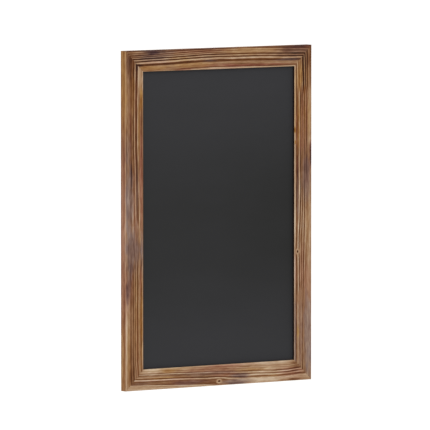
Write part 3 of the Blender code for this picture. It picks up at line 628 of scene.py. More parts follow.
# %% [markdown]
# ## A board that grows from a rule
#
# A Geometry Nodes tree sweeps the section along a line. For each point it then works out where it lies in the
# wood: the distance across the board plus the drift of the grain gives a place among the growth rings, and
# the rings' curve gives the tone there. Soft, pale rings are brushed out, so the point sinks by as much as
# its ring is pale. The same tone goes to the material. The next cells write that rule, one step to a
# function. The first sweeps the section, and lets each point remember its place in the section and along the
# line, which has a length of 1.

# %% Sweep the section
STATION_STEP = 2 * MM
BOARD_INPUTS = {
    "Section": "Object", "Length": "Float", "Stations": "Int", "Groove Depth": "Float", "Mitre Gap": "Float",
    "Seed": "Float", "Turn": "Float", "Place": "Vector", "Reads": "Float", "Pressed In": "Collection",
    "Wood": "Material",
}


def sweep_section(tree, given):
    """The swept mesh, and for each point its place in the section and along the line."""
    add = partial(add_node, tree)
    position = add("GeometryNodeInputPosition")
    outline = add("GeometryNodeObjectInfo", [given["Section"]]).outputs["Geometry"]
    outline = add("GeometryNodeStoreNamedAttribute", (outline, True, "section", position),
                  data_type="FLOAT_VECTOR")
    line = add("GeometryNodeCurvePrimitiveLine", ((-0.5, 0, 0), (0.5, 0, 0)))
    line = add("GeometryNodeResampleCurve", (line, True, given["Stations"]))
    run = add("ShaderNodeSeparateXYZ", [position]).outputs["X"]
    line = add("GeometryNodeStoreNamedAttribute", (line, True, "run", run))
    swept = add("GeometryNodeCurveToMesh", {"Curve": line, "Profile Curve": outline, "Fill Caps": True})
    section = add("GeometryNodeInputNamedAttribute", ["section"], data_type="FLOAT_VECTOR")
    return swept, section, add("GeometryNodeInputNamedAttribute", ["run"])


# %% [markdown]
# ## Where a point lies in the wood
#
# The rule counts in millimetres: along the board from its left or top end, across it from the outer edge, and
# into it from the face. Each board has a seed, which moves it to a stretch of the noises of its own. Marks
# are given on a flat sheet, as if the side faces were folded open beside the face.

# %% Find the places in the wood
SEED_STRIDE = 1000
FACE_MM = FACE / MM
DEPTH_MM = DEPTH / MM


def places_in_wood(tree, given, section, run):
    """The places that the rest of the rule works from, by name."""
    add = partial(add_node, tree)
    in_mm = add("ShaderNodeVectorMath", (section, (1 / MM, 1 / MM, 1 / MM)), operation="MULTIPLY")
    across, depth = add("ShaderNodeSeparateXYZ", [in_mm]).outputs[:2]
    length = add("ShaderNodeMath", (given["Length"], 1 / MM), operation="MULTIPLY")
    cut = add("ShaderNodeMath", (across, -2, length), operation="MULTIPLY_ADD")
    along = add("ShaderNodeMath", (run, cut), operation="MULTIPLY")
    along = add("ShaderNodeMath", (along, given["Reads"]), operation="MULTIPLY")
    along = add("ShaderNodeMath", (length, 0.5, along), operation="MULTIPLY_ADD")
    seeded = add("ShaderNodeMath", (given["Seed"], SEED_STRIDE, along), operation="MULTIPLY_ADD")
    in_outer_half = add("ShaderNodeMath", (across, FACE_MM / 2), operation="LESS_THAN")
    fold = add("ShaderNodeMapRange", (in_outer_half, 0, 1, 1, -1))
    unfolded = add("ShaderNodeMath", (depth, fold, across), operation="MULTIPLY_ADD")
    return SimpleNamespace(
        section=section, run=run, across=across, depth=depth, along=along, seeded=seeded,
        share_along=add("ShaderNodeMath", (along, length), operation="DIVIDE"),
        share_across=add("ShaderNodeMath", (across, FACE_MM), operation="DIVIDE", use_clamp=True),
        from_inner=add("ShaderNodeMath", (FACE_MM, across), operation="SUBTRACT"),
        wood=add("ShaderNodeCombineXYZ", (seeded, across, depth)),
        flat=add("ShaderNodeCombineXYZ", (along, unfolded, 0)),
    )


# %% [markdown]
# ## The growth rings
#
# A point's place among the rings is its distance across the board, plus the lean of the rings, less the drift
# of the grain, and a little wandering. Curves hold both: one along the board for each track of the drift, and
# one through the rings for each cut. A knot pushes the rings aside. All that it needs is the place relative
# to its middle: the rings near it are bent away from it, and its own rings are left to the material.

# %% Place a point among the rings
RING_LEAN = 0.35
DRIFT_LIMIT = 15
WANDER = 0.6
WANDER_PER_MM = (0.012, 0.05, 0.05)
KNOT_PULL = 0.25
PULL_REACH = 1.6
KNOT_SHAPE = (0.7, 1)
BEND_SHAPE = (0.2, 0.42)
CORE_EDGE = (0.7, 0.42)
HALO_EDGE = (1.6, 0.9)
NO_KNOT = SimpleNamespace(place=(9, 9, 9), core=0, halo=0)


def patches(tree, place, per_mm, low, high, reach=0.2, clamp=True, **settings):
    """Noise with so many grains to the millimetre, whose values are spread from low to high."""
    noise = noise_over(tree, place, per_mm, **settings)
    return add_node(tree, "ShaderNodeMapRange", (noise, 0.5 - reach, 0.5 + reach, low, high), clamp=clamp)


def drift_of(tree, board, at):
    """How far the rings drift to the inner edge, in mm: a curve along the board for each track across it."""
    length_cm = board["length"] / CM
    drift = None
    track_before = 0
    for track, points in board["drift"]:
        node = add_node(tree, "ShaderNodeFloatCurve", (1, at.share_along))
        set_curve(node, [(min(1, place / length_cm), 0.5 + mm / (2 * DRIFT_LIMIT)) for place, mm in points])
        shift = add_node(tree, "ShaderNodeMapRange", (node, 0, 1, -DRIFT_LIMIT, DRIFT_LIMIT))
        if drift:
            blend = add_node(tree, "ShaderNodeMapRange", (at.share_across, track_before, track, 0, 1))
            shift = add_node(tree, "ShaderNodeMix", (blend, drift, shift))
        drift = shift
        track_before = track
    return drift


def bend_round_knot(tree, board, at, ring):
    """The rings bent round the board's knot, and how near each point is to the knot."""
    if not board["knot"]:
        return ring, NO_KNOT
    add = partial(add_node, tree)
    knot_along, knot_across, radius = board["knot"]
    centre = (knot_along * MM_PER_CM, knot_across * FACE_MM + board["shift"], 0)
    off = add("ShaderNodeCombineXYZ", (at.along, at.across, 0))
    off = add("ShaderNodeVectorMath", (off, centre), operation="SUBTRACT")
    places = []
    for along, across in (KNOT_SHAPE, BEND_SHAPE):
        scale = (along / radius, across / radius, 0)
        places.append(add("ShaderNodeVectorMath", (off, scale), operation="MULTIPLY"))
    near, far = [add("ShaderNodeVectorMath", [p], operation="LENGTH").outputs["Value"] for p in places]
    pull = add("ShaderNodeMapRange", (far, PULL_REACH, 0, 0, KNOT_PULL), interpolation_type="SMOOTHERSTEP")
    aside = add("ShaderNodeSeparateXYZ", [off]).outputs["Y"]
    bend = add("ShaderNodeMath", (aside, pull), operation="MULTIPLY")
    core = add("ShaderNodeMapRange", (near, *CORE_EDGE, 0, 1), interpolation_type="SMOOTHSTEP")
    halo = add("ShaderNodeMapRange", (near, *HALO_EDGE, 0, 1), interpolation_type="SMOOTHSTEP")
    bent = add("ShaderNodeMath", (ring, bend), operation="SUBTRACT")
    return bent, SimpleNamespace(place=places[0], core=core, halo=halo)


def place_among_rings(tree, board, at):
    """The place among the growth rings, in mm, and the knot."""
    ring = add_node(tree, "ShaderNodeMath", (at.depth, RING_LEAN, at.across), operation="MULTIPLY_ADD")
    for less in (drift_of(tree, board, at), board["shift"]):
        ring = add_node(tree, "ShaderNodeMath", (ring, less), operation="SUBTRACT")
    wander = patches(tree, at.wood, WANDER_PER_MM, -WANDER, WANDER, reach=0.25, clamp=False)
    ring = add_node(tree, "ShaderNodeMath", (ring, wander), operation="ADD")
    return bend_round_knot(tree, board, at, ring)


# %% [markdown]
# ## The tone
#
# The board's cuts turn a place among the rings into a tone. From afar, narrow lines blur into their
# neighbours, so each cut is first made crisper. Then the lines get bolder here and fainter there, with fine
# rings between the strong ones and a mottle where the flame has lingered.

# %% Give the rings their tone
RING_MARGIN = 0.25
BOLDNESS = (0.82, 1.2)
BOLDNESS_PER_MM = (0.012, 0.16, 0.16)
FINE_RINGS_PER_MM = 0.55
FINE_RING_SPAN = 0.6
FINE_RING_TONE = 0.07
MOTTLE = 0.09
MOTTLE_PER_MM = (0.04, 0.22, 0.22)


def crisp(cut, gain):
    """A cut whose rings stand out more from their neighbours, by a gain, so that narrow lines stay bold."""
    tones = [tone for _, tone in cut]
    around = [(before + after) / 2 for before, after in zip(tones[:1] + tones[:-1], tones[1:] + tones[-1:])]
    return [(place, min(1, max(0, tone + gain * (tone - mean)))) for (place, tone), mean in zip(cut, around)]


def tone_of_rings(tree, board, at, ring):
    """The tone of a growth ring, from the cut that holds at that place along the board."""
    margins = 1 + 2 * RING_MARGIN
    share = add_node(tree, "ShaderNodeMath", (ring, 1 / (margins * FACE_MM), RING_MARGIN / margins),
                     operation="MULTIPLY_ADD")
    tones = None
    for cut, change in zip(board["cuts"], (None, *board["changes"])):
        node = add_node(tree, "ShaderNodeFloatCurve", (1, share))
        cut = crisp(cut, board["crispness"])
        set_curve(node, [((place + RING_MARGIN) / margins, tone) for place, tone in cut])
        if tones:
            start, end = [place * MM_PER_CM for place in change]
            blend = add_node(tree, "ShaderNodeMapRange", (at.along, start, end, 0, 1),
                             interpolation_type="SMOOTHSTEP")
            node = add_node(tree, "ShaderNodeMix", (blend, tones, node))
        tones = node
    return tones


def lively_tone(tree, board, at, ring, bolder):
    """The tone of the rings, bolder here and fainter there, with fine rings and a mottle."""
    add = partial(add_node, tree)
    strength = patches(tree, at.wood, BOLDNESS_PER_MM, *BOLDNESS)
    strength = add("ShaderNodeMath", (strength, bolder), operation="ADD")
    contrast = add("ShaderNodeMath", (tone_of_rings(tree, board, at, ring), 0.5), operation="SUBTRACT")
    tone = add("ShaderNodeMath", (contrast, strength, 0.5), operation="MULTIPLY_ADD")
    fine = add("ShaderNodeTexVoronoi", {"W": ring, "Scale": FINE_RINGS_PER_MM, "Randomness": 1},
               voronoi_dimensions="1D").outputs["Distance"]
    fine = add("ShaderNodeMapRange", (fine, 0, FINE_RING_SPAN, -FINE_RING_TONE, FINE_RING_TONE))
    tone = add("ShaderNodeMath", (tone, fine), operation="ADD")
    mottle = patches(tree, at.wood, MOTTLE_PER_MM, -MOTTLE, MOTTLE, **LIVELY)
    return add("ShaderNodeMath", (tone, mottle), operation="ADD")


# %% [markdown]
# ## Marks, worn corners and what the torch has missed
#
# Every mark is a soft ellipse whose border wavers. The corners are rubbed to one tone from end to end. The
# inner side of the lip is made black: partly char that the brush can't reach, partly painted shade of the
# recess behind the lip. The back and the rabbet are bare wood, apart from a ragged scorch along the outer
# edge
# of the back, where the flame came round. All these borders are soft, and each is written as a pair of
# places:
# there is nothing of the effect at the first, and all of it at the second.

# %% Lay the marks over the tone
MARK_EDGE = (1.3, 0.4)
MARK_WAVER = 0.8
WAVER_PER_MM = (0.03, 0.1, 0.1)
OUTER_CORNER = (3.2, 1.4, 0, 0.9)
INNER_CORNER = (4.0, 1.6, 0, 0.95)
HALO_TONE = 0.72
CHAR_AND_SHADE_TONE = 0.0
AT_RETURN = (0.5, 0.05)
OFF_RETURN = (0.1, 0.4)
PAST_CORNER = (1.2, 2.0)
AT_BACK = (DEPTH_MM - 0.7, DEPTH_MM - 0.1)
SCORCH_WAVER = 5
SCORCH_EDGE = (0.6, 4.5)
PAST_LIP = (LIP / MM - 0.1, LIP / MM)
PAST_WALL = ((FACE - RABBET) / MM - 0.1, (FACE - RABBET) / MM)


def marks_of(tree, board, kind, at, waver):
    """The sum of one kind of mark."""
    add = partial(add_node, tree)
    total = 0
    for along, across, half_length, half_width, strength in board[kind]:
        centre = (along * MM_PER_CM, across * FACE_MM + board["shift"], 0)
        reach = (CM_PER_MM / half_length, 1 / (half_width * FACE_MM), 0)
        off = add("ShaderNodeVectorMath", (at.flat, centre), operation="SUBTRACT")
        off = add("ShaderNodeVectorMath", (off, reach), operation="MULTIPLY")
        off = add("ShaderNodeVectorMath", [off], operation="LENGTH").outputs["Value"]
        off = add("ShaderNodeMath", (off, waver), operation="ADD")
        amount = add("ShaderNodeMapRange", (off, *MARK_EDGE, 0, strength), interpolation_type="SMOOTHSTEP")
        total = add("ShaderNodeMath", (amount, total), operation="ADD")
    return total


def wear_corners(tree, board, at, tone, paler, knot):
    """The tone with its worn corners, its paler marks and the pale halo of the knot."""
    add = partial(add_node, tree)
    for beside, corner, corner_tone in zip((at.across, at.from_inner), (OUTER_CORNER, INNER_CORNER),
                                           board["arris_tones"]):
        away_from = add("ShaderNodeMath", (beside, at.depth), operation="ADD")
        worn = add("ShaderNodeMapRange", (away_from, *corner), interpolation_type="SMOOTHSTEP")
        tone = add("ShaderNodeMix", (worn, tone, corner_tone))
    tone = add("ShaderNodeMath", (tone, paler), operation="ADD")
    return add("ShaderNodeMix", (knot.halo, tone, HALO_TONE))


def in_return(tree, at):
    """Where a point lies on the inner side of the lip, behind its rounded corner."""
    at_return = add_node(tree, "ShaderNodeMapRange", (at.from_inner, *AT_RETURN, 0, 1))
    behind = add_node(tree, "ShaderNodeMapRange", (at.depth, *PAST_CORNER, 0, 1))
    return add_node(tree, "ShaderNodeMath", (at_return, behind), operation="MULTIPLY")


def bare_wood(tree, at, waver):
    """Where a point lies on the back past the ragged scorch, or in the rabbet."""
    add = partial(add_node, tree)
    back = add("ShaderNodeMapRange", (at.depth, *AT_BACK, 0, 1))
    ragged = add("ShaderNodeMath", (waver, SCORCH_WAVER, at.across), operation="MULTIPLY_ADD")
    past_scorch = add("ShaderNodeMapRange", (ragged, *SCORCH_EDGE, 0, 1), interpolation_type="SMOOTHSTEP")
    back = add("ShaderNodeMath", (back, past_scorch), operation="MULTIPLY")
    rabbet = add("ShaderNodeMapRange", (at.depth, *PAST_LIP, 0, 1))
    for place, edge in ((at.across, PAST_WALL), (at.from_inner, OFF_RETURN)):
        within = add("ShaderNodeMapRange", (place, *edge, 0, 1))
        rabbet = add("ShaderNodeMath", (rabbet, within), operation="MULTIPLY")
    return add("ShaderNodeMath", (back, rabbet), operation="MAXIMUM")


def looks_of_wood(tree, board, at, ring, knot):
    """The tone of the wood, and how much char, smoke, amber, red and bare wood there is."""
    waver = patches(tree, at.wood, WAVER_PER_MM, -MARK_WAVER / 2, MARK_WAVER / 2, reach=0.25, **LIVELY)
    looks = {kind: marks_of(tree, board, kind, at, waver) for kind in MARK_KINDS}
    tone = lively_tone(tree, board, at, ring, looks.pop("bolder"))
    tone = wear_corners(tree, board, at, tone, looks.pop("paler"), knot)
    # The inner side of the lip gets full char and the darkest tone: partly char that the brush missed, partly
    # painted shade of the recess.
    char_and_shade_of_return = in_return(tree, at)
    looks["char"] = add_node(tree, "ShaderNodeMath", (char_and_shade_of_return, looks["char"]),
                             operation="ADD", use_clamp=True)
    looks["bare"] = bare_wood(tree, at, waver)
    return add_node(tree, "ShaderNodeMix", (char_and_shade_of_return, tone, CHAR_AND_SHADE_TONE)), looks


# %% [markdown]
# ## The relief and the mitres
#
# A point of the section moves inwards, at right angles to the surface, by as much as its ring is soft. The
# brush leaves the back and the inner side of the lip alone. Then each line of the mesh is shortened by its
# own distance from the outer edge, which cuts both ends to 45 degrees with no cutting at all.

# %% Sink the soft rings and shape the ends
GROOVE_DEPTH = 0.35 * MM
MITRE_GAP = 0.08 * MM
KNOT_HARDNESS = 0.14
SOFT_TONES = (0.15, 0.8)
BRUSH_END = (DEPTH_MM - 1, DEPTH_MM - 4)
LIP_CLEARANCE = (0, 1.5)


def sunk_section(tree, given, at, tone, knot):
    """The place in the section once the brush has been over it."""
    add = partial(add_node, tree)
    core = add("ShaderNodeVectorMath", (at.section, (ARRIS, ARRIS, 0)), operation="MAXIMUM")
    core = add("ShaderNodeVectorMath", (core, (FACE - ARRIS, DEPTH - ARRIS, 0)), operation="MINIMUM")
    way_out = add("ShaderNodeVectorMath", (at.section, core), operation="SUBTRACT")
    way_out = add("ShaderNodeVectorMath", [way_out], operation="NORMALIZE")
    reached = add("ShaderNodeMapRange", (at.depth, *BRUSH_END, 0, 1))
    clear_of_lip = add("ShaderNodeMapRange", (at.from_inner, *LIP_CLEARANCE, 0, 1))
    reached = add("ShaderNodeMath", (reached, clear_of_lip), operation="MULTIPLY")
    softness = add("ShaderNodeMix", (knot.core, tone, KNOT_HARDNESS))
    softness = add("ShaderNodeMapRange", (softness, *SOFT_TONES, 0, 1), interpolation_type="SMOOTHSTEP")
    sunk = add("ShaderNodeMath", (softness, reached), operation="MULTIPLY")
    sunk = add("ShaderNodeMath", (sunk, given["Groove Depth"]), operation="MULTIPLY")
    sink = add("ShaderNodeVectorMath", {"Vector": way_out, "Scale": sunk}, operation="SCALE")
    return add("ShaderNodeVectorMath", (at.section, sink), operation="SUBTRACT")


def place_on_board(tree, given, at, shaped):
    """The place on the board, with both ends mitred."""
    add = partial(add_node, tree)
    across, depth = add("ShaderNodeSeparateXYZ", [shaped]).outputs[:2]
    gap = add("ShaderNodeMath", (given["Mitre Gap"], math.sqrt(2)), operation="MULTIPLY")
    length = add("ShaderNodeMath", (across, -2, given["Length"]), operation="MULTIPLY_ADD")
    length = add("ShaderNodeMath", (length, gap), operation="SUBTRACT")
    along = add("ShaderNodeMath", (at.run, length), operation="MULTIPLY")
    forward = add("ShaderNodeMath", (depth, DEPTH), operation="SUBTRACT")
    down = add("ShaderNodeMath", (across, -1), operation="MULTIPLY")
    return add("ShaderNodeCombineXYZ", (along, forward, down))


# %% [markdown]
# ## The slots of the V nails
#
# The nails are the construction's own solids. Copies of them, a little fatter and reaching out of the back,
# are cut out of the wood. The walls of the slots come out without looks of their own, so they take those of
# the wood beside them.

# %% Cut the slots
SLOT_PLAY = 0.12 * MM
SLOT_OPENING = 1 * MM
BACK_ZONE = -2 * MM
WELD = 0.01 * MM
ON_NAIL = 0.02 * MM


def cut_slots(tree, given, wood, kinds):
    """The wood with slots for the nails that are pressed into it."""
    add = partial(add_node, tree)
    nails = add("GeometryNodeCollectionInfo", [given["Pressed In"]])
    nails = add("GeometryNodeRealizeInstances", [nails])
    nails = add("GeometryNodeMergeByDistance", {"Geometry": nails, "Distance": WELD})
    normal = add("GeometryNodeInputNormal")
    fatter = add("ShaderNodeVectorMath", {"Vector": normal, "Scale": SLOT_PLAY}, operation="SCALE")
    nails = add("GeometryNodeSetPosition", {"Geometry": nails, "Offset": fatter})
    back = add("ShaderNodeSeparateXYZ", [add("GeometryNodeInputPosition")]).outputs["Y"]
    at_back = add("FunctionNodeCompare", (back, BACK_ZONE), operation="GREATER_THAN")
    longer = {"Geometry": nails, "Selection": at_back, "Offset": (0, SLOT_OPENING, 0)}
    nails = add("GeometryNodeSetPosition", longer)
    cut = add("GeometryNodeMeshBoolean", (wood, nails), operation="DIFFERENCE", solver="MANIFOLD")
    slotted = cut.outputs["Mesh"]
    off_nail = add("GeometryNodeProximity", {"Geometry": nails}, target_element="FACES").outputs["Distance"]
    on_nail = add("FunctionNodeCompare", (off_nail, ON_NAIL), operation="LESS_THAN")
    for label, kind in kinds.items():
        value = add("GeometryNodeInputNamedAttribute", [label], data_type=kind)
        beside = add("GeometryNodeSampleNearestSurface", {"Mesh": wood, "Value": value}, data_type=kind)
        slotted = add("GeometryNodeStoreNamedAttribute", (slotted, on_nail, label, beside), data_type=kind)
    return slotted


# %% [markdown]
# ## The whole rule
#
# The steps go into one tree for each board, because each has its own curves and marks. The tree stores the
# looks on the mesh, moves the points, turns the length to its side of the frame and cuts the slots.

# %% Write the rule of a board
def board_tree(name, board):
    """The Geometry Nodes tree that grows one length of brushed wood."""
    tree, given = new_tree(f"grow_{name}", BOARD_INPUTS)
    add = partial(add_node, tree)
    wood, section, run = sweep_section(tree, given)
    at = places_in_wood(tree, given, section, run)
    ring, knot = place_among_rings(tree, board, at)
    tone, looks = looks_of_wood(tree, board, at, ring, knot)
    grain = add("ShaderNodeCombineXYZ", (at.seeded, ring, at.depth))
    values = {"grain": grain, "knot": knot.place, "tone": tone, **looks}
    kinds = {label: "FLOAT_VECTOR" if label in ("grain", "knot") else "FLOAT" for label in values}
    for label, value in values.items():
        wood = add("GeometryNodeStoreNamedAttribute", (wood, True, label, value), data_type=kinds[label])
    shaped = sunk_section(tree, given, at, tone, knot)
    placed = place_on_board(tree, given, at, shaped)
    wood = add("GeometryNodeSetPosition", {"Geometry": wood, "Position": placed})
    turn = add("ShaderNodeCombineXYZ", {"Y": given["Turn"]})
    wood = add("GeometryNodeTransform", {"Geometry": wood, "Translation": given["Place"], "Rotation": turn})
    for label in ("section", "run"):
        wood = add("GeometryNodeRemoveAttribute", {"Geometry": wood, "Name": label})
    end_tree(tree, cut_slots(tree, given, wood, kinds), given["Wood"])
    return tree


# %% [markdown]
# ## Growing the four lengths
#
# A modifier runs the tree on an empty mesh, and its result is kept as a plain mesh. The carrier goes again.

# %% Grow the four lengths
def grow(name, tree, inputs, places=()):
    """Runs a tree with its named inputs, on the given places, and keeps the result as a plain mesh."""
    carrier_mesh = bpy.data.meshes.new(f"{name}_carrier")
    carrier_mesh.from_pydata(places, [], [])
    carrier = bpy.data.objects.new(f"{name}_carrier", carrier_mesh)
    bpy.context.scene.collection.objects.link(carrier)
    modifier = carrier.modifiers.new("grow", "NODES")
    modifier.node_group = tree
    for item in tree.interface.items_tree:
        if item.in_out == "INPUT" and item.name in inputs:
            modifier[item.identifier] = inputs[item.name]
    depsgraph = bpy.context.evaluated_depsgraph_get()
    evaluated = carrier.evaluated_get(depsgraph)
    mesh = bpy.data.meshes.new_from_object(evaluated, preserve_all_data_layers=True, depsgraph=depsgraph)
    mesh.name = name
    piece = bpy.data.objects.new(name, mesh)
    bpy.context.scene.collection.objects.link(piece)
    bpy.data.objects.remove(carrier)
    return piece


def nails_in(name):
    """A collection of the V nails that are pressed into one length of wood."""
    level_or_side = name.split("_")[0]
    group = bpy.data.collections.new(f"{name}_nails")
    for node_name, node in NODES.items():
        if "v_nail" in node_name and level_or_side in node_name.split("_")[:2]:
            group.objects.link(node)
    return group


for name, board in BOARDS.items():
    edge_x, edge_z = board["edge"]
    nails = nails_in(name)
    piece = grow(f"{name}_brushed", board_tree(name, board), {
        "Section": SECTION, "Length": board["length"], "Stations": round(board["length"] / STATION_STEP),
        "Groove Depth": GROOVE_DEPTH, "Mitre Gap": MITRE_GAP, "Seed": float(board["seed"]),
        "Turn": float(board["turn"]), "Place": (edge_x, 0.0, edge_z), "Reads": float(board["reads"]),
        "Pressed In": nails, "Wood": WOOD,
    })
    bpy.data.collections.remove(nails)
    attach(piece, "board")
    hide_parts(name)
    print("grown:", piece.name, len(piece.data.polygons), "faces")
bpy.data.objects.remove(SECTION)

# %% [markdown]
# ## The writing sheet
#
# The thin steel sheet is roller coated with a chalk paint: dark grey, dead matte and slightly rough, so that
# chalk bites. The tooth is a bump whose grains are a third of a millimetre wide. A faint cloud of chalk dust
# lies over it at random. The grey is also lifted by a painted sheen, as a soft reflection would light it: it
# is palest along the upper and lower edges, and darkest right of the middle.

# %% Material of the writing sheet
TOOTH = 0.35 * MM
TOOTH_RELIEF = 0.03 * MM
TOOTH_BUMP = 0.5
SWEEP_SIZE = (260 * MM, 1, 90 * MM)
SWEEP_HAZE = 0.14
CLOUD_SPAN = (0.35, 0.65)
SHEEN_MIDDLE = MIDDLE - 20 * MM
SHEEN_REACH = (40 * MM, 340 * MM)
SHEEN_AT_EDGES = 0.84
SHEEN_AT_MIDDLE = 0.18
SHEEN_FADED_AT = 140 * MM
CHALK_COLOURS = (linear("#262626"), linear("#353538"))
CHALK_ROUGHNESS = 0.8
MATTE_SPECULAR = 0.3


def new_material(name):
    """A new material with its tree, its shader and the place on the object in metres."""
    material = bpy.data.materials.new(name)
    material.use_nodes = True
    tree = material.node_tree
    place = add_node(tree, "ShaderNodeTexCoord").outputs["Object"]
    return material, tree, tree.nodes["Principled BSDF"], place


def chalk_coating():
    """Dark, matte paint with a fine tooth, a faint chalk dust and a painted sheen near the upper and lower
    edges.
    """
    material, tree, shader, place = new_material("chalk_coating")
    add = partial(add_node, tree)
    # Painted sheen: paler towards the upper and lower edges and darkest right of the middle, standing in for
    # a soft reflection. Only the sweep noise is chalk dust.
    axes = add("ShaderNodeSeparateXYZ", [place]).outputs
    off_middle = add("ShaderNodeMath", (axes["Z"], SHEEN_MIDDLE), operation="SUBTRACT")
    off_middle = add("ShaderNodeMath", [off_middle], operation="ABSOLUTE")
    painted_sheen_near_edge = add("ShaderNodeMapRange", (off_middle, *SHEEN_REACH, 0, 1), interpolation_type="SMOOTHSTEP")
    painted_sheen_across = add("ShaderNodeMapRange", (axes["X"], 0, SHEEN_FADED_AT, SHEEN_AT_MIDDLE, 0))
    dust_and_sheen = add("ShaderNodeMix", (painted_sheen_near_edge, painted_sheen_across, SHEEN_AT_EDGES))
    sweep = noise_at(tree, place, SWEEP_SIZE, detail=4)
    sweep = add("ShaderNodeMapRange", (sweep, *CLOUD_SPAN, 0, SWEEP_HAZE))
    dust_and_sheen = add("ShaderNodeMath", (dust_and_sheen, sweep), operation="ADD")
    colour = add("ShaderNodeMix", (dust_and_sheen, *CHALK_COLOURS), data_type="RGBA")
    tooth = noise_at(tree, place, TOOTH)
    bump = add("ShaderNodeBump", {"Strength": TOOTH_BUMP, "Distance": TOOTH_RELIEF, "Height": tooth})
    feed(tree, shader, {
        "Base Color": colour, "Roughness": CHALK_ROUGHNESS, "Specular IOR Level": MATTE_SPECULAR,
        "Normal": bump,
    })
    return material


def dress(material, *node_names):
    """Puts a material on pieces of the construction."""
    for node_name in node_names:
        mesh = NODES[node_name].data
        mesh.materials.clear()
        mesh.materials.append(material)


dress(chalk_coating(), "writing_sheet")
print("sheet:", f"{(SHEET_HIGH.x - SHEET_LOW.x) / MM:.1f} by {(SHEET_HIGH.z - SHEET_LOW.z) / MM:.1f} mm")

# %% [markdown]
# ## The backing board
#
# Hardboard is pressed from steamed wood fibre. Its brown surface is felted: tufts of short fibres that lie
# every way, with the print of the wire screen that let the water out. For each tuft a Voronoi cell is turned
# by an angle of its own, and noise that is drawn out along one direction is read in the turned cell. Two such
# layers hide each other's cell borders. The screen is two sets of fine ridges, one along each direction. The
# fibres are drawn 0.35 mm wide, which is coarser than they are, because finer ones would not show.

# %% Material of the backing board
TUFT = 7 * MM
SMALL_TUFT = 0.7 * TUFT
TUFT_FIBRE = (3.5 * MM, 1 * MM, 0.35 * MM)
FIBRE_SPAN = (0.45, 0.75)
FIBRE_SHARE = 0.8
CLOUD = 25 * MM
CLOUD_SHARE = 0.2
SCREEN_PITCH = 1.6 * MM
SCREEN_SHARE = 0.25
FELT_RELIEF = 0.06 * MM
FELT_BUMP = 0.5
HARDBOARD_COLOURS = (linear("#6b4b34"), linear("#93704f"))
HARDBOARD_ROUGHNESS = 0.7


def tufts(tree, place, size):
    """Fibres of which each cell has its own direction."""
    add = partial(add_node, tree)
    cells = add("ShaderNodeTexVoronoi", {"Vector": place, "Scale": 1 / size, "Randomness": 1}).outputs
    in_cell = add("ShaderNodeVectorMath", (place, cells["Position"]), operation="SUBTRACT")
    own_angle = add("ShaderNodeSeparateXYZ", [cells["Color"]]).outputs["X"]
    own_angle = add("ShaderNodeMath", (own_angle, 2 * math.pi), operation="MULTIPLY")
    turned = add("ShaderNodeVectorRotate", {"Vector": in_cell, "Angle": own_angle}, rotation_type="Y_AXIS")
    own_place = add("ShaderNodeVectorMath", (turned, cells["Position"]), operation="ADD")
    return noise_at(tree, own_place, TUFT_FIBRE)


def hardboard():
    """Brown felted fibre with the print of a wire screen."""
    material, tree, shader, place = new_material("hardboard")
    add = partial(add_node, tree)
    layers = [tufts(tree, place, size) for size in (TUFT, SMALL_TUFT)]
    fibres = add("ShaderNodeMath", layers, operation="MAXIMUM")
    fibres = add("ShaderNodeMapRange", (fibres, *FIBRE_SPAN, 0, FIBRE_SHARE))
    clouds = noise_at(tree, place, CLOUD, detail=3)
    clouds = add("ShaderNodeMapRange", (clouds, *CLOUD_SPAN, 0, CLOUD_SHARE))
    shade = add("ShaderNodeMath", (fibres, clouds), operation="ADD")
    colour = add("ShaderNodeMix", (shade, *HARDBOARD_COLOURS), data_type="RGBA")
    axes = add("ShaderNodeSeparateXYZ", [place]).outputs
    waves = []
    for axis in ("X", "Z"):
        angle = add("ShaderNodeMath", (axes[axis], 2 * math.pi / SCREEN_PITCH), operation="MULTIPLY")
        waves.append(add("ShaderNodeMath", [angle], operation="SINE"))
    screen = add("ShaderNodeMath", waves, operation="MAXIMUM")
    relief = add("ShaderNodeMath", (screen, SCREEN_SHARE, fibres), operation="MULTIPLY_ADD")
    bump = add("ShaderNodeBump", {"Strength": FELT_BUMP, "Distance": FELT_RELIEF, "Height": relief})
    feed(tree, shader, {
        "Base Color": colour, "Roughness": HARDBOARD_ROUGHNESS, "Specular IOR Level": MATTE_SPECULAR,
        "Normal": bump,
    })
    return material


dress(hardboard(), "backing_board")
print("backing board: tufts of", round(TUFT / MM), "mm")

# %% [markdown]
# ## Steel and rubber
#
# The V nails and the framer's points are bright rolled spring steel, and show fine lines along the strip. The
# hangers and their screws are zinc plated: bluish white, with the soft mottle of the plating and a duller
# tone where fingers and tools have rubbed. The bumpers are moulded black rubber with a fine grain. The lines
# of the strip and the grain of the rubber are drawn coarser than they are, because finer ones would not show.

# %% Materials of the hardware
METAL_RELIEF = 0.01 * MM
ROLLED_LINE = (0.15 * MM, 4 * MM, 0.15 * MM)
STEEL_COLOURS = (linear("#8e9093"), linear("#b9bbbd"))
STEEL_ROUGHNESS = (0.28, 0.45)
STEEL_BUMP = 0.4
PLATING_MOTTLE = 1.4 * MM
RUBBED_STREAK = (0.3 * MM, 0.3 * MM, 3 * MM)
ZINC_COLOURS = (linear("#b9bdc1"), linear("#d7d9db"))
ZINC_ROUGHNESS = (0.22, 0.42)
ZINC_BUMP = 0.3
DUST = 2 * MM
DUST_SPAN = (0.4, 0.7)
RUBBER_GRAIN = 0.2 * MM
RUBBER_RELIEF = 0.03 * MM
RUBBER_COLOURS = (linear("#161617"), linear("#262625"))
RUBBER_ROUGHNESS = 0.7
RUBBER_BUMP = 0.4


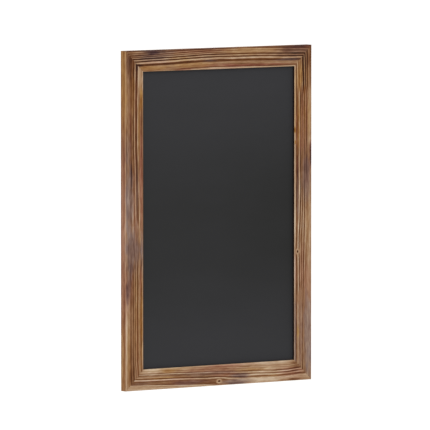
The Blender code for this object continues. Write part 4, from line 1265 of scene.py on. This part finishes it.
def spring_steel():
    """Bright rolled strip with fine lines."""
    material, tree, shader, place = new_material("spring_steel")
    add = partial(add_node, tree)
    lines = noise_at(tree, place, ROLLED_LINE)
    shade = add("ShaderNodeMapRange", (lines, *NOISE_SPAN, 0, 1))
    colour = add("ShaderNodeMix", (shade, *STEEL_COLOURS), data_type="RGBA")
    roughness = add("ShaderNodeMapRange", (lines, *NOISE_SPAN, *STEEL_ROUGHNESS))
    bump = add("ShaderNodeBump", {"Strength": STEEL_BUMP, "Distance": METAL_RELIEF, "Height": lines})
    feed(tree, shader, {"Base Color": colour, "Metallic": 1, "Roughness": roughness, "Normal": bump})
    return material


def zinc_plating():
    """Bluish white plating with a soft mottle and faint rubbing."""
    material, tree, shader, place = new_material("zinc_plated_steel")
    add = partial(add_node, tree)
    mottle = noise_at(tree, place, PLATING_MOTTLE, detail=3)
    shade = add("ShaderNodeMapRange", (mottle, *NOISE_SPAN, 0, 1))
    colour = add("ShaderNodeMix", (shade, *ZINC_COLOURS), data_type="RGBA")
    rubbed = noise_at(tree, place, RUBBED_STREAK)
    roughness = add("ShaderNodeMapRange", (rubbed, *NOISE_SPAN, *ZINC_ROUGHNESS))
    bump = add("ShaderNodeBump", {"Strength": ZINC_BUMP, "Distance": METAL_RELIEF, "Height": mottle})
    feed(tree, shader, {"Base Color": colour, "Metallic": 1, "Roughness": roughness, "Normal": bump})
    return material


def black_rubber():
    """Moulded rubber: nearly black, dull, with a fine grain and a little dust."""
    material, tree, shader, place = new_material("black_rubber")
    add = partial(add_node, tree)
    dust = noise_at(tree, place, DUST, detail=3)
    shade = add("ShaderNodeMapRange", (dust, *DUST_SPAN, 0, 1))
    colour = add("ShaderNodeMix", (shade, *RUBBER_COLOURS), data_type="RGBA")
    grain = noise_at(tree, place, RUBBER_GRAIN)
    bump = add("ShaderNodeBump", {"Strength": RUBBER_BUMP, "Distance": RUBBER_RELIEF, "Height": grain})
    feed(tree, shader, {"Base Color": colour, "Roughness": RUBBER_ROUGHNESS, "Normal": bump})
    return material


STEEL = spring_steel()
ZINC = zinc_plating()
RUBBER = black_rubber()
steel_names = [name for name in NODES if "v_nail" in name or "_point_" in name]
dress(STEEL, *steel_names)
dress(ZINC, "left_hanger_strap", "right_hanger_strap")
print("dressed:", len(steel_names), "pieces of spring steel and 2 straps")

# %% [markdown]
# ## Screws and bumpers, turned from their outlines
#
# Both are turned shapes, so one rule can make both: it sweeps an outline round an axis, point by point, and
# puts a finished piece at every place in a list. First come the outlines, as radius and height.

# %% Outlines of the turned pieces
HEAD_RADIUS = 3.5 * MM
HEAD_HEIGHT = 2.2 * MM
HEAD_RIM = 0.66 * MM
HEAD_ROUND = 0.1 * MM
HEAD_STEPS = 10
SHANK_RADIUS = 1.75 * MM
SHANK_TAPER = 0.3 * MM
CORE_RADIUS = 1.26 * MM
THREAD_PITCH = 1.5 * MM
ROWS_PER_PITCH = 10
SCREW_LENGTH = 13 * MM
PLAIN_SHANK = 3 * MM
POINT_LENGTH = 3 * MM
BUMPER_RADIUS = 5.5 * MM
BUMPER_HEIGHT = 4 * MM
BUMPER_RIM = 1.2 * MM
BUMPER_BASE = 0.2 * MM
BUMPER_STEPS = 12


def dome(radius, low, high, steps):
    """Points from the rim of a dome to its top, as radius and height."""
    angles = [math.pi / 2 * index / steps for index in range(steps + 1)]
    return [(radius * math.cos(a), low + (high - low) * math.sin(a)) for a in angles]


def screw_outline():
    """Half a pan head screw, from its point to the top of its head."""
    threaded = SCREW_LENGTH - PLAIN_SHANK
    rows = round(threaded / THREAD_PITCH * ROWS_PER_PITCH)
    points = [(0, -SCREW_LENGTH)]
    for row in range(1, rows + 1):
        height = -SCREW_LENGTH + threaded * row / rows
        fullness = min(1, (height + SCREW_LENGTH) / POINT_LENGTH)
        points.append((CORE_RADIUS * fullness, height))
    points += [(SHANK_RADIUS, -PLAIN_SHANK + SHANK_TAPER), (SHANK_RADIUS, 0), (HEAD_RADIUS - HEAD_ROUND, 0)]
    points += dome(HEAD_RADIUS, HEAD_RIM, HEAD_HEIGHT, HEAD_STEPS)
    return outline_object("screw_outline", points, closed=False)


def bumper_outline():
    """Half a rubber dome with a flat, slightly rounded base."""
    points = [(0, 0), (BUMPER_RADIUS - BUMPER_BASE, 0), (BUMPER_RADIUS, BUMPER_BASE)]
    points += dome(BUMPER_RADIUS, BUMPER_RIM, BUMPER_HEIGHT, BUMPER_STEPS)
    return outline_object("bumper_outline", points, closed=False)


# %% [markdown]
# ## The rule of a turned piece
#
# A screw gets two things more than a bumper. Its thread is a ridge whose height depends on the turn and on
# the way along the axis together, and that makes a helix. Its crossed recess is cut with two tapered bars.
# Each screw is turned to its own angle with a fixed seed, since nobody drives four screws to the same angle.

# %% Write the rule of a turned piece
THREAD_CREST = (0.2, 0.5)
THREAD_END = 0.4 * MM
RECESS_TAPER = (0.3 * MM, 0.7)
SEAM = 0.002 * MM
TURNED_INPUTS = {
    "Places": "Geometry", "Outline": "Object", "Sides": "Int", "Seed": "Int", "Finish": "Material",
}
SCREW_INPUTS = {
    "Thread Height": "Float", "Thread Pitch": "Float", "Threaded From": "Float", "Threaded To": "Float",
    "Recess Width": "Float", "Recess Slot": "Float", "Recess Depth": "Float", "Head Height": "Float",
}


def threaded_radius(tree, given, radius, height, share):
    """The radius with a thread on it: a ridge that climbs one pitch a turn, and dies out at both ends."""
    add = partial(add_node, tree)
    pitches = add("ShaderNodeMath", (height, given["Thread Pitch"]), operation="DIVIDE")
    phase = add("ShaderNodeMath", (pitches, share), operation="SUBTRACT")
    ridge = add("ShaderNodeMath", (phase, 0.5), operation="PINGPONG")
    ridge = add("ShaderNodeMapRange", (ridge, *THREAD_CREST, 0, 1))
    full_from = add("ShaderNodeMath", (given["Threaded From"], POINT_LENGTH), operation="ADD")
    fade_in = add("ShaderNodeMapRange", (height, given["Threaded From"], full_from, 0, 1))
    full_to = add("ShaderNodeMath", (given["Threaded To"], THREAD_END), operation="SUBTRACT")
    fade_out = add("ShaderNodeMapRange", (height, full_to, given["Threaded To"], 1, 0))
    for fade in (fade_in, fade_out):
        ridge = add("ShaderNodeMath", (ridge, fade), operation="MULTIPLY")
    return add("ShaderNodeMath", (ridge, given["Thread Height"], radius), operation="MULTIPLY_ADD")


def crossed_head(tree, given, screw):
    """The screw with a crossed recess: two tapered bars are cut out of its head."""
    add = partial(add_node, tree)
    taper_height, foot = RECESS_TAPER
    position = add("GeometryNodeInputPosition")
    above_middle = add("ShaderNodeSeparateXYZ", [position]).outputs["Y"]
    slim = add("ShaderNodeMapRange", (above_middle, 0, taper_height, foot, 1))
    slim = add("ShaderNodeCombineXYZ", (slim, 1, slim))
    tapered = add("ShaderNodeVectorMath", (position, slim), operation="MULTIPLY")
    lift = add("ShaderNodeCombineXYZ", {"Y": given["Head Height"]})
    tall = add("ShaderNodeMath", (given["Recess Depth"], 2), operation="MULTIPLY")
    width = given["Recess Width"]
    slot = given["Recess Slot"]
    for size in ((width, tall, slot), (slot, tall, width)):
        bar = add("GeometryNodeMeshCube", [add("ShaderNodeCombineXYZ", size)]).outputs["Mesh"]
        bar = add("GeometryNodeSetPosition", {"Geometry": bar, "Position": tapered})
        bar = add("GeometryNodeTransform", {"Geometry": bar, "Translation": lift})
        cut = add("GeometryNodeMeshBoolean", (screw, bar), operation="DIFFERENCE", solver="MANIFOLD")
        screw = cut.outputs["Mesh"]
    return screw


def turned_tree(name, is_screw):
    """A tree that turns an outline round the Y axis, and puts one at every vertex that it is given."""
    tree, given = new_tree(name, TURNED_INPUTS | SCREW_INPUTS if is_screw else TURNED_INPUTS)
    add = partial(add_node, tree)
    outline = add("GeometryNodeObjectInfo", [given["Outline"]]).outputs["Geometry"]
    position = add("GeometryNodeInputPosition")
    outline = add("GeometryNodeStoreNamedAttribute", (outline, True, "section", position),
                  data_type="FLOAT_VECTOR")
    circle = add("GeometryNodeCurvePrimitiveCircle", (given["Sides"], 1))
    share = add("ShaderNodeMath", (add("GeometryNodeInputIndex"), given["Sides"]), operation="DIVIDE")
    circle = add("GeometryNodeStoreNamedAttribute", (circle, True, "turn", share))
    turned = add("GeometryNodeCurveToMesh", {"Curve": circle, "Profile Curve": outline})
    section = add("GeometryNodeInputNamedAttribute", ["section"], data_type="FLOAT_VECTOR")
    share = add("GeometryNodeInputNamedAttribute", ["turn"])
    radius, height = add("ShaderNodeSeparateXYZ", [section]).outputs[:2]
    if is_screw:
        radius = threaded_radius(tree, given, radius, height, share)
    angle = add("ShaderNodeMath", (share, 2 * math.pi), operation="MULTIPLY")
    legs = []
    for operation in ("COSINE", "SINE"):
        leg = add("ShaderNodeMath", [angle], operation=operation)
        legs.append(add("ShaderNodeMath", (leg, radius), operation="MULTIPLY"))
    place = add("ShaderNodeCombineXYZ", (legs[0], height, legs[1]))
    turned = add("GeometryNodeSetPosition", {"Geometry": turned, "Position": place})
    turned = add("GeometryNodeMergeByDistance", {"Geometry": turned, "Distance": SEAM})
    for label in ("section", "turn"):
        turned = add("GeometryNodeRemoveAttribute", {"Geometry": turned, "Name": label})
    if is_screw:
        turned = crossed_head(tree, given, turned)
    own_turn = add("FunctionNodeRandomValue", {"Min": 0.0, "Max": math.pi / 2, "Seed": given["Seed"]},
                   data_type="FLOAT")
    own_turn = add("ShaderNodeCombineXYZ", {"Y": own_turn})
    copies = {"Points": given["Places"], "Instance": turned, "Rotation": own_turn}
    end_tree(tree, add("GeometryNodeInstanceOnPoints", copies), given["Finish"])
    return tree

# %% [markdown]
# ## Turning and placing them
#
# The places come from the construction's own screws and bumpers, so each new piece sits where its plain one
# was.

# %% Turn and place the screws and the bumpers
SIDES = 48
TURN_SEED = 5
RECESS_WIDTH = 3.6 * MM
RECESS_SLOT = 1 * MM
RECESS_DEPTH = 1.3 * MM


def seats(node_names, height):
    """Where turned pieces of that height have to stand, to end where some plain ones do."""
    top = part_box(node_names[0])[1].y
    places = []
    for node_name in node_names:
        low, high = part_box(node_name)
        places.append(((low.x + high.x) / 2, top - height, (low.z + high.z) / 2))
    return places


screw_names = [name for name in NODES if name.endswith("hanger_screw")]
screw_profile = screw_outline()
screws = grow("hanger_screws", turned_tree("turn_screws", is_screw=True), {
    "Outline": screw_profile, "Sides": SIDES, "Thread Height": SHANK_RADIUS - CORE_RADIUS,
    "Thread Pitch": THREAD_PITCH, "Threaded From": -SCREW_LENGTH, "Threaded To": -PLAIN_SHANK,
    "Recess Width": RECESS_WIDTH, "Recess Slot": RECESS_SLOT, "Recess Depth": RECESS_DEPTH,
    "Head Height": HEAD_HEIGHT, "Seed": TURN_SEED, "Finish": ZINC,
}, seats(screw_names, HEAD_HEIGHT))
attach(screws, "board")
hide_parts(*screw_names)
print("turned:", len(screw_names), "screws with", len(screws.data.polygons), "faces")

bumper_names = [name for name in NODES if name.endswith("bumper")]
bumper_profile = bumper_outline()
bumpers = grow("wall_bumpers", turned_tree("turn_bumpers", is_screw=False), {
    "Outline": bumper_profile, "Sides": SIDES, "Seed": TURN_SEED, "Finish": RUBBER,
}, seats(bumper_names, BUMPER_HEIGHT))
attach(bumpers, "board")
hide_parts(*bumper_names)
for profile in (screw_profile, bumper_profile):
    bpy.data.objects.remove(profile)
print("turned:", len(bumper_names), "bumpers with", len(bumpers.data.polygons), "faces")

# %% [markdown]
# ## The hanging rings
#
# A ring is bent from wire to a D: a straight bar that turns in the strap's loop, and a round bow for the wall
# hook. A rectangle whose corners are filleted gives just that, if the lower two fillets are as wide as half
# the ring. Each ring is a moving body of its own, so the tree runs once for each.

# %% Bend the rings
WIRE = 2.2 * MM
RING_HALF = 9.1 * MM
RING_SIDE = 4 * MM
RING_CORNER = 2.4 * MM
BOW_SHARE = 0.999
BOW_STEPS = 24
WIRE_SIDES = 20
WIRE_SEAM = 0.05 * MM
RING_INPUTS = {
    "Half Width": "Float", "Side": "Float", "Corner": "Float", "Wire": "Float", "Bow Steps": "Int",
    "Wire Sides": "Int", "Pivot": "Vector", "Tilt": "Float", "Finish": "Material",
}


def ring_tree():
    """A tree that bends a wire to a D, hanging from its bar."""
    tree, given = new_tree("bend_ring", RING_INPUTS)
    add = partial(add_node, tree)
    wide = add("ShaderNodeMath", (given["Half Width"], 2), operation="MULTIPLY")
    tall = add("ShaderNodeMath", (given["Half Width"], given["Side"]), operation="ADD")
    outline = add("GeometryNodeCurvePrimitiveQuadrilateral", (wide, tall), mode="RECTANGLE")
    corner_up = add("ShaderNodeSeparateXYZ", [add("GeometryNodeInputPosition")]).outputs["Y"]
    lower = add("FunctionNodeCompare", (corner_up, 0.0), operation="LESS_THAN")
    bow = add("ShaderNodeMath", (given["Half Width"], BOW_SHARE), operation="MULTIPLY")
    radius = add("GeometryNodeSwitch", (lower, given["Corner"], bow), input_type="FLOAT")
    fillet = {"Curve": outline, "Count": given["Bow Steps"], "Radius": radius}
    line = add("GeometryNodeFilletCurve", fillet, mode="POLY")
    thick = add("ShaderNodeMath", (given["Wire"], 0.5), operation="MULTIPLY")
    wire = add("GeometryNodeCurvePrimitiveCircle", (given["Wire Sides"], thick))
    ring = add("GeometryNodeCurveToMesh", {"Curve": line, "Profile Curve": wire})
    ring = add("GeometryNodeMergeByDistance", {"Geometry": ring, "Distance": WIRE_SEAM})
    drop = add("ShaderNodeMath", (tall, -0.5), operation="MULTIPLY")
    hang = add("ShaderNodeCombineXYZ", {"Z": drop})
    upright = {"Geometry": ring, "Translation": hang, "Rotation": (math.pi / 2, 0, 0)}
    ring = add("GeometryNodeTransform", upright)
    tilt = add("ShaderNodeCombineXYZ", {"X": given["Tilt"]})
    ring = add("GeometryNodeTransform", {"Geometry": ring, "Translation": given["Pivot"], "Rotation": tilt})
    end_tree(tree, ring, given["Finish"])
    return tree


RING_TREE = ring_tree()
for joint in frame["joints"]:
    side = joint["name"].split("_")[0]
    ring_name = f"{side}_hanger_ring"
    pivot = Vector(joint["pos_m"])
    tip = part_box(ring_name)[1].y - WIRE / 2
    tilt = math.asin((tip - pivot.y) / (RING_SIDE + RING_HALF))
    ring = grow(f"{side}_ring_bent", RING_TREE, {
        "Half Width": RING_HALF, "Side": RING_SIDE, "Corner": RING_CORNER, "Wire": WIRE,
        "Bow Steps": BOW_STEPS, "Wire Sides": WIRE_SIDES, "Pivot": pivot, "Tilt": tilt, "Finish": ZINC,
    })
    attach(ring, f"{side}_ring")
    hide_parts(ring_name)
    print("bent:", ring.name, f"leaning out by {math.degrees(tilt):.2f} degrees")

# %% [markdown]
# ## Light, floor and background
#
# A plain studio: an even pale world, and three large soft lamps. The camera sees the world as pure white, and
# so does a reflection. The floor lies well below the hanging board, and only its upper side is solid, so that
# a view from below looks through it.

# %% Light the studio
WORLD_STRENGTH = 0.62
WHITE = "#ffffff"
LAMPS = {
    "key_lamp": ((-1.2, -3.0, 2.2), 2.5, 34),
    "fill_lamp": ((-3.4, -0.6, 0.6), 2.0, 10),
    "back_lamp": ((0.8, 3.2, 1.6), 2.5, 30),
}
FLOOR_HALF = 60
FLOOR_DROP = 0.6
FLOOR_GLOW = 0.5
FLOOR_ROUGHNESS = 0.9
FLOOR_COLOUR = "#f4f4f2"


def studio_world():
    """A pale surround that lights evenly and that the camera sees as white."""
    world = bpy.data.worlds.new("studio")
    world.use_nodes = True
    tree = world.node_tree
    tree.nodes.clear()
    rays = add_node(tree, "ShaderNodeLightPath").outputs
    seen = rays["Is Camera Ray"]
    for ray in ("Is Transmission Ray", "Is Glossy Ray"):
        seen = add_node(tree, "ShaderNodeMath", (seen, rays[ray]), operation="MAXIMUM")
    around = add_node(tree, "ShaderNodeBackground", (linear(WHITE), WORLD_STRENGTH))
    white = add_node(tree, "ShaderNodeBackground", (linear(WHITE), 1))
    both = add_node(tree, "ShaderNodeMixShader", (seen, around, white))
    add_node(tree, "ShaderNodeOutputWorld", [both])
    return world


def hang_lamp(name, place, size, power):
    """A square soft lamp that looks at the middle of the board."""
    data = bpy.data.lights.new(name, "AREA")
    data.size = size
    data.energy = power
    lamp = bpy.data.objects.new(name, data)
    lamp.location = place
    lamp.rotation_euler = (board_centre - Vector(place)).to_track_quat("-Z", "Y").to_euler()
    bpy.context.scene.collection.objects.link(lamp)


def pale_floor():
    """A wide floor that is solid from above only. The camera sees it a little brighter than it is lit."""
    material, tree, shader = new_material("pale_floor")[:3]
    add = partial(add_node, tree)
    rays = add("ShaderNodeLightPath").outputs
    glow = add("ShaderNodeMath", (rays["Is Camera Ray"], FLOOR_GLOW), operation="MULTIPLY")
    feed(tree, shader, {
        "Base Color": linear(FLOOR_COLOUR), "Roughness": FLOOR_ROUGHNESS, "Emission Color": linear(WHITE),
        "Emission Strength": glow,
    })
    underneath = add("ShaderNodeNewGeometry").outputs["Backfacing"]
    clear = add("ShaderNodeBsdfTransparent")
    one_sided = add("ShaderNodeMixShader", (underneath, shader, clear))
    feed(tree, tree.nodes["Material Output"], {"Surface": one_sided})
    signs = ((-1, -1), (1, -1), (1, 1), (-1, 1))
    corners = [(FLOOR_HALF * x, FLOOR_HALF * y, BOTTOM - FLOOR_DROP) for x, y in signs]
    mesh = bpy.data.meshes.new("floor")
    mesh.from_pydata(corners, [], [(0, 1, 2, 3)])
    mesh.materials.append(material)
    floor = bpy.data.objects.new("floor", mesh)
    bpy.context.scene.collection.objects.link(floor)
    return floor


bpy.context.scene.world = studio_world()
for name, (place, size, power) in LAMPS.items():
    hang_lamp(name, place, size, power)
floor = pale_floor()
bpy.context.scene.view_settings.view_transform = "Standard"
print("studio:", len(LAMPS), "lamps, floor", round(FLOOR_DROP / CM), "cm below the board")
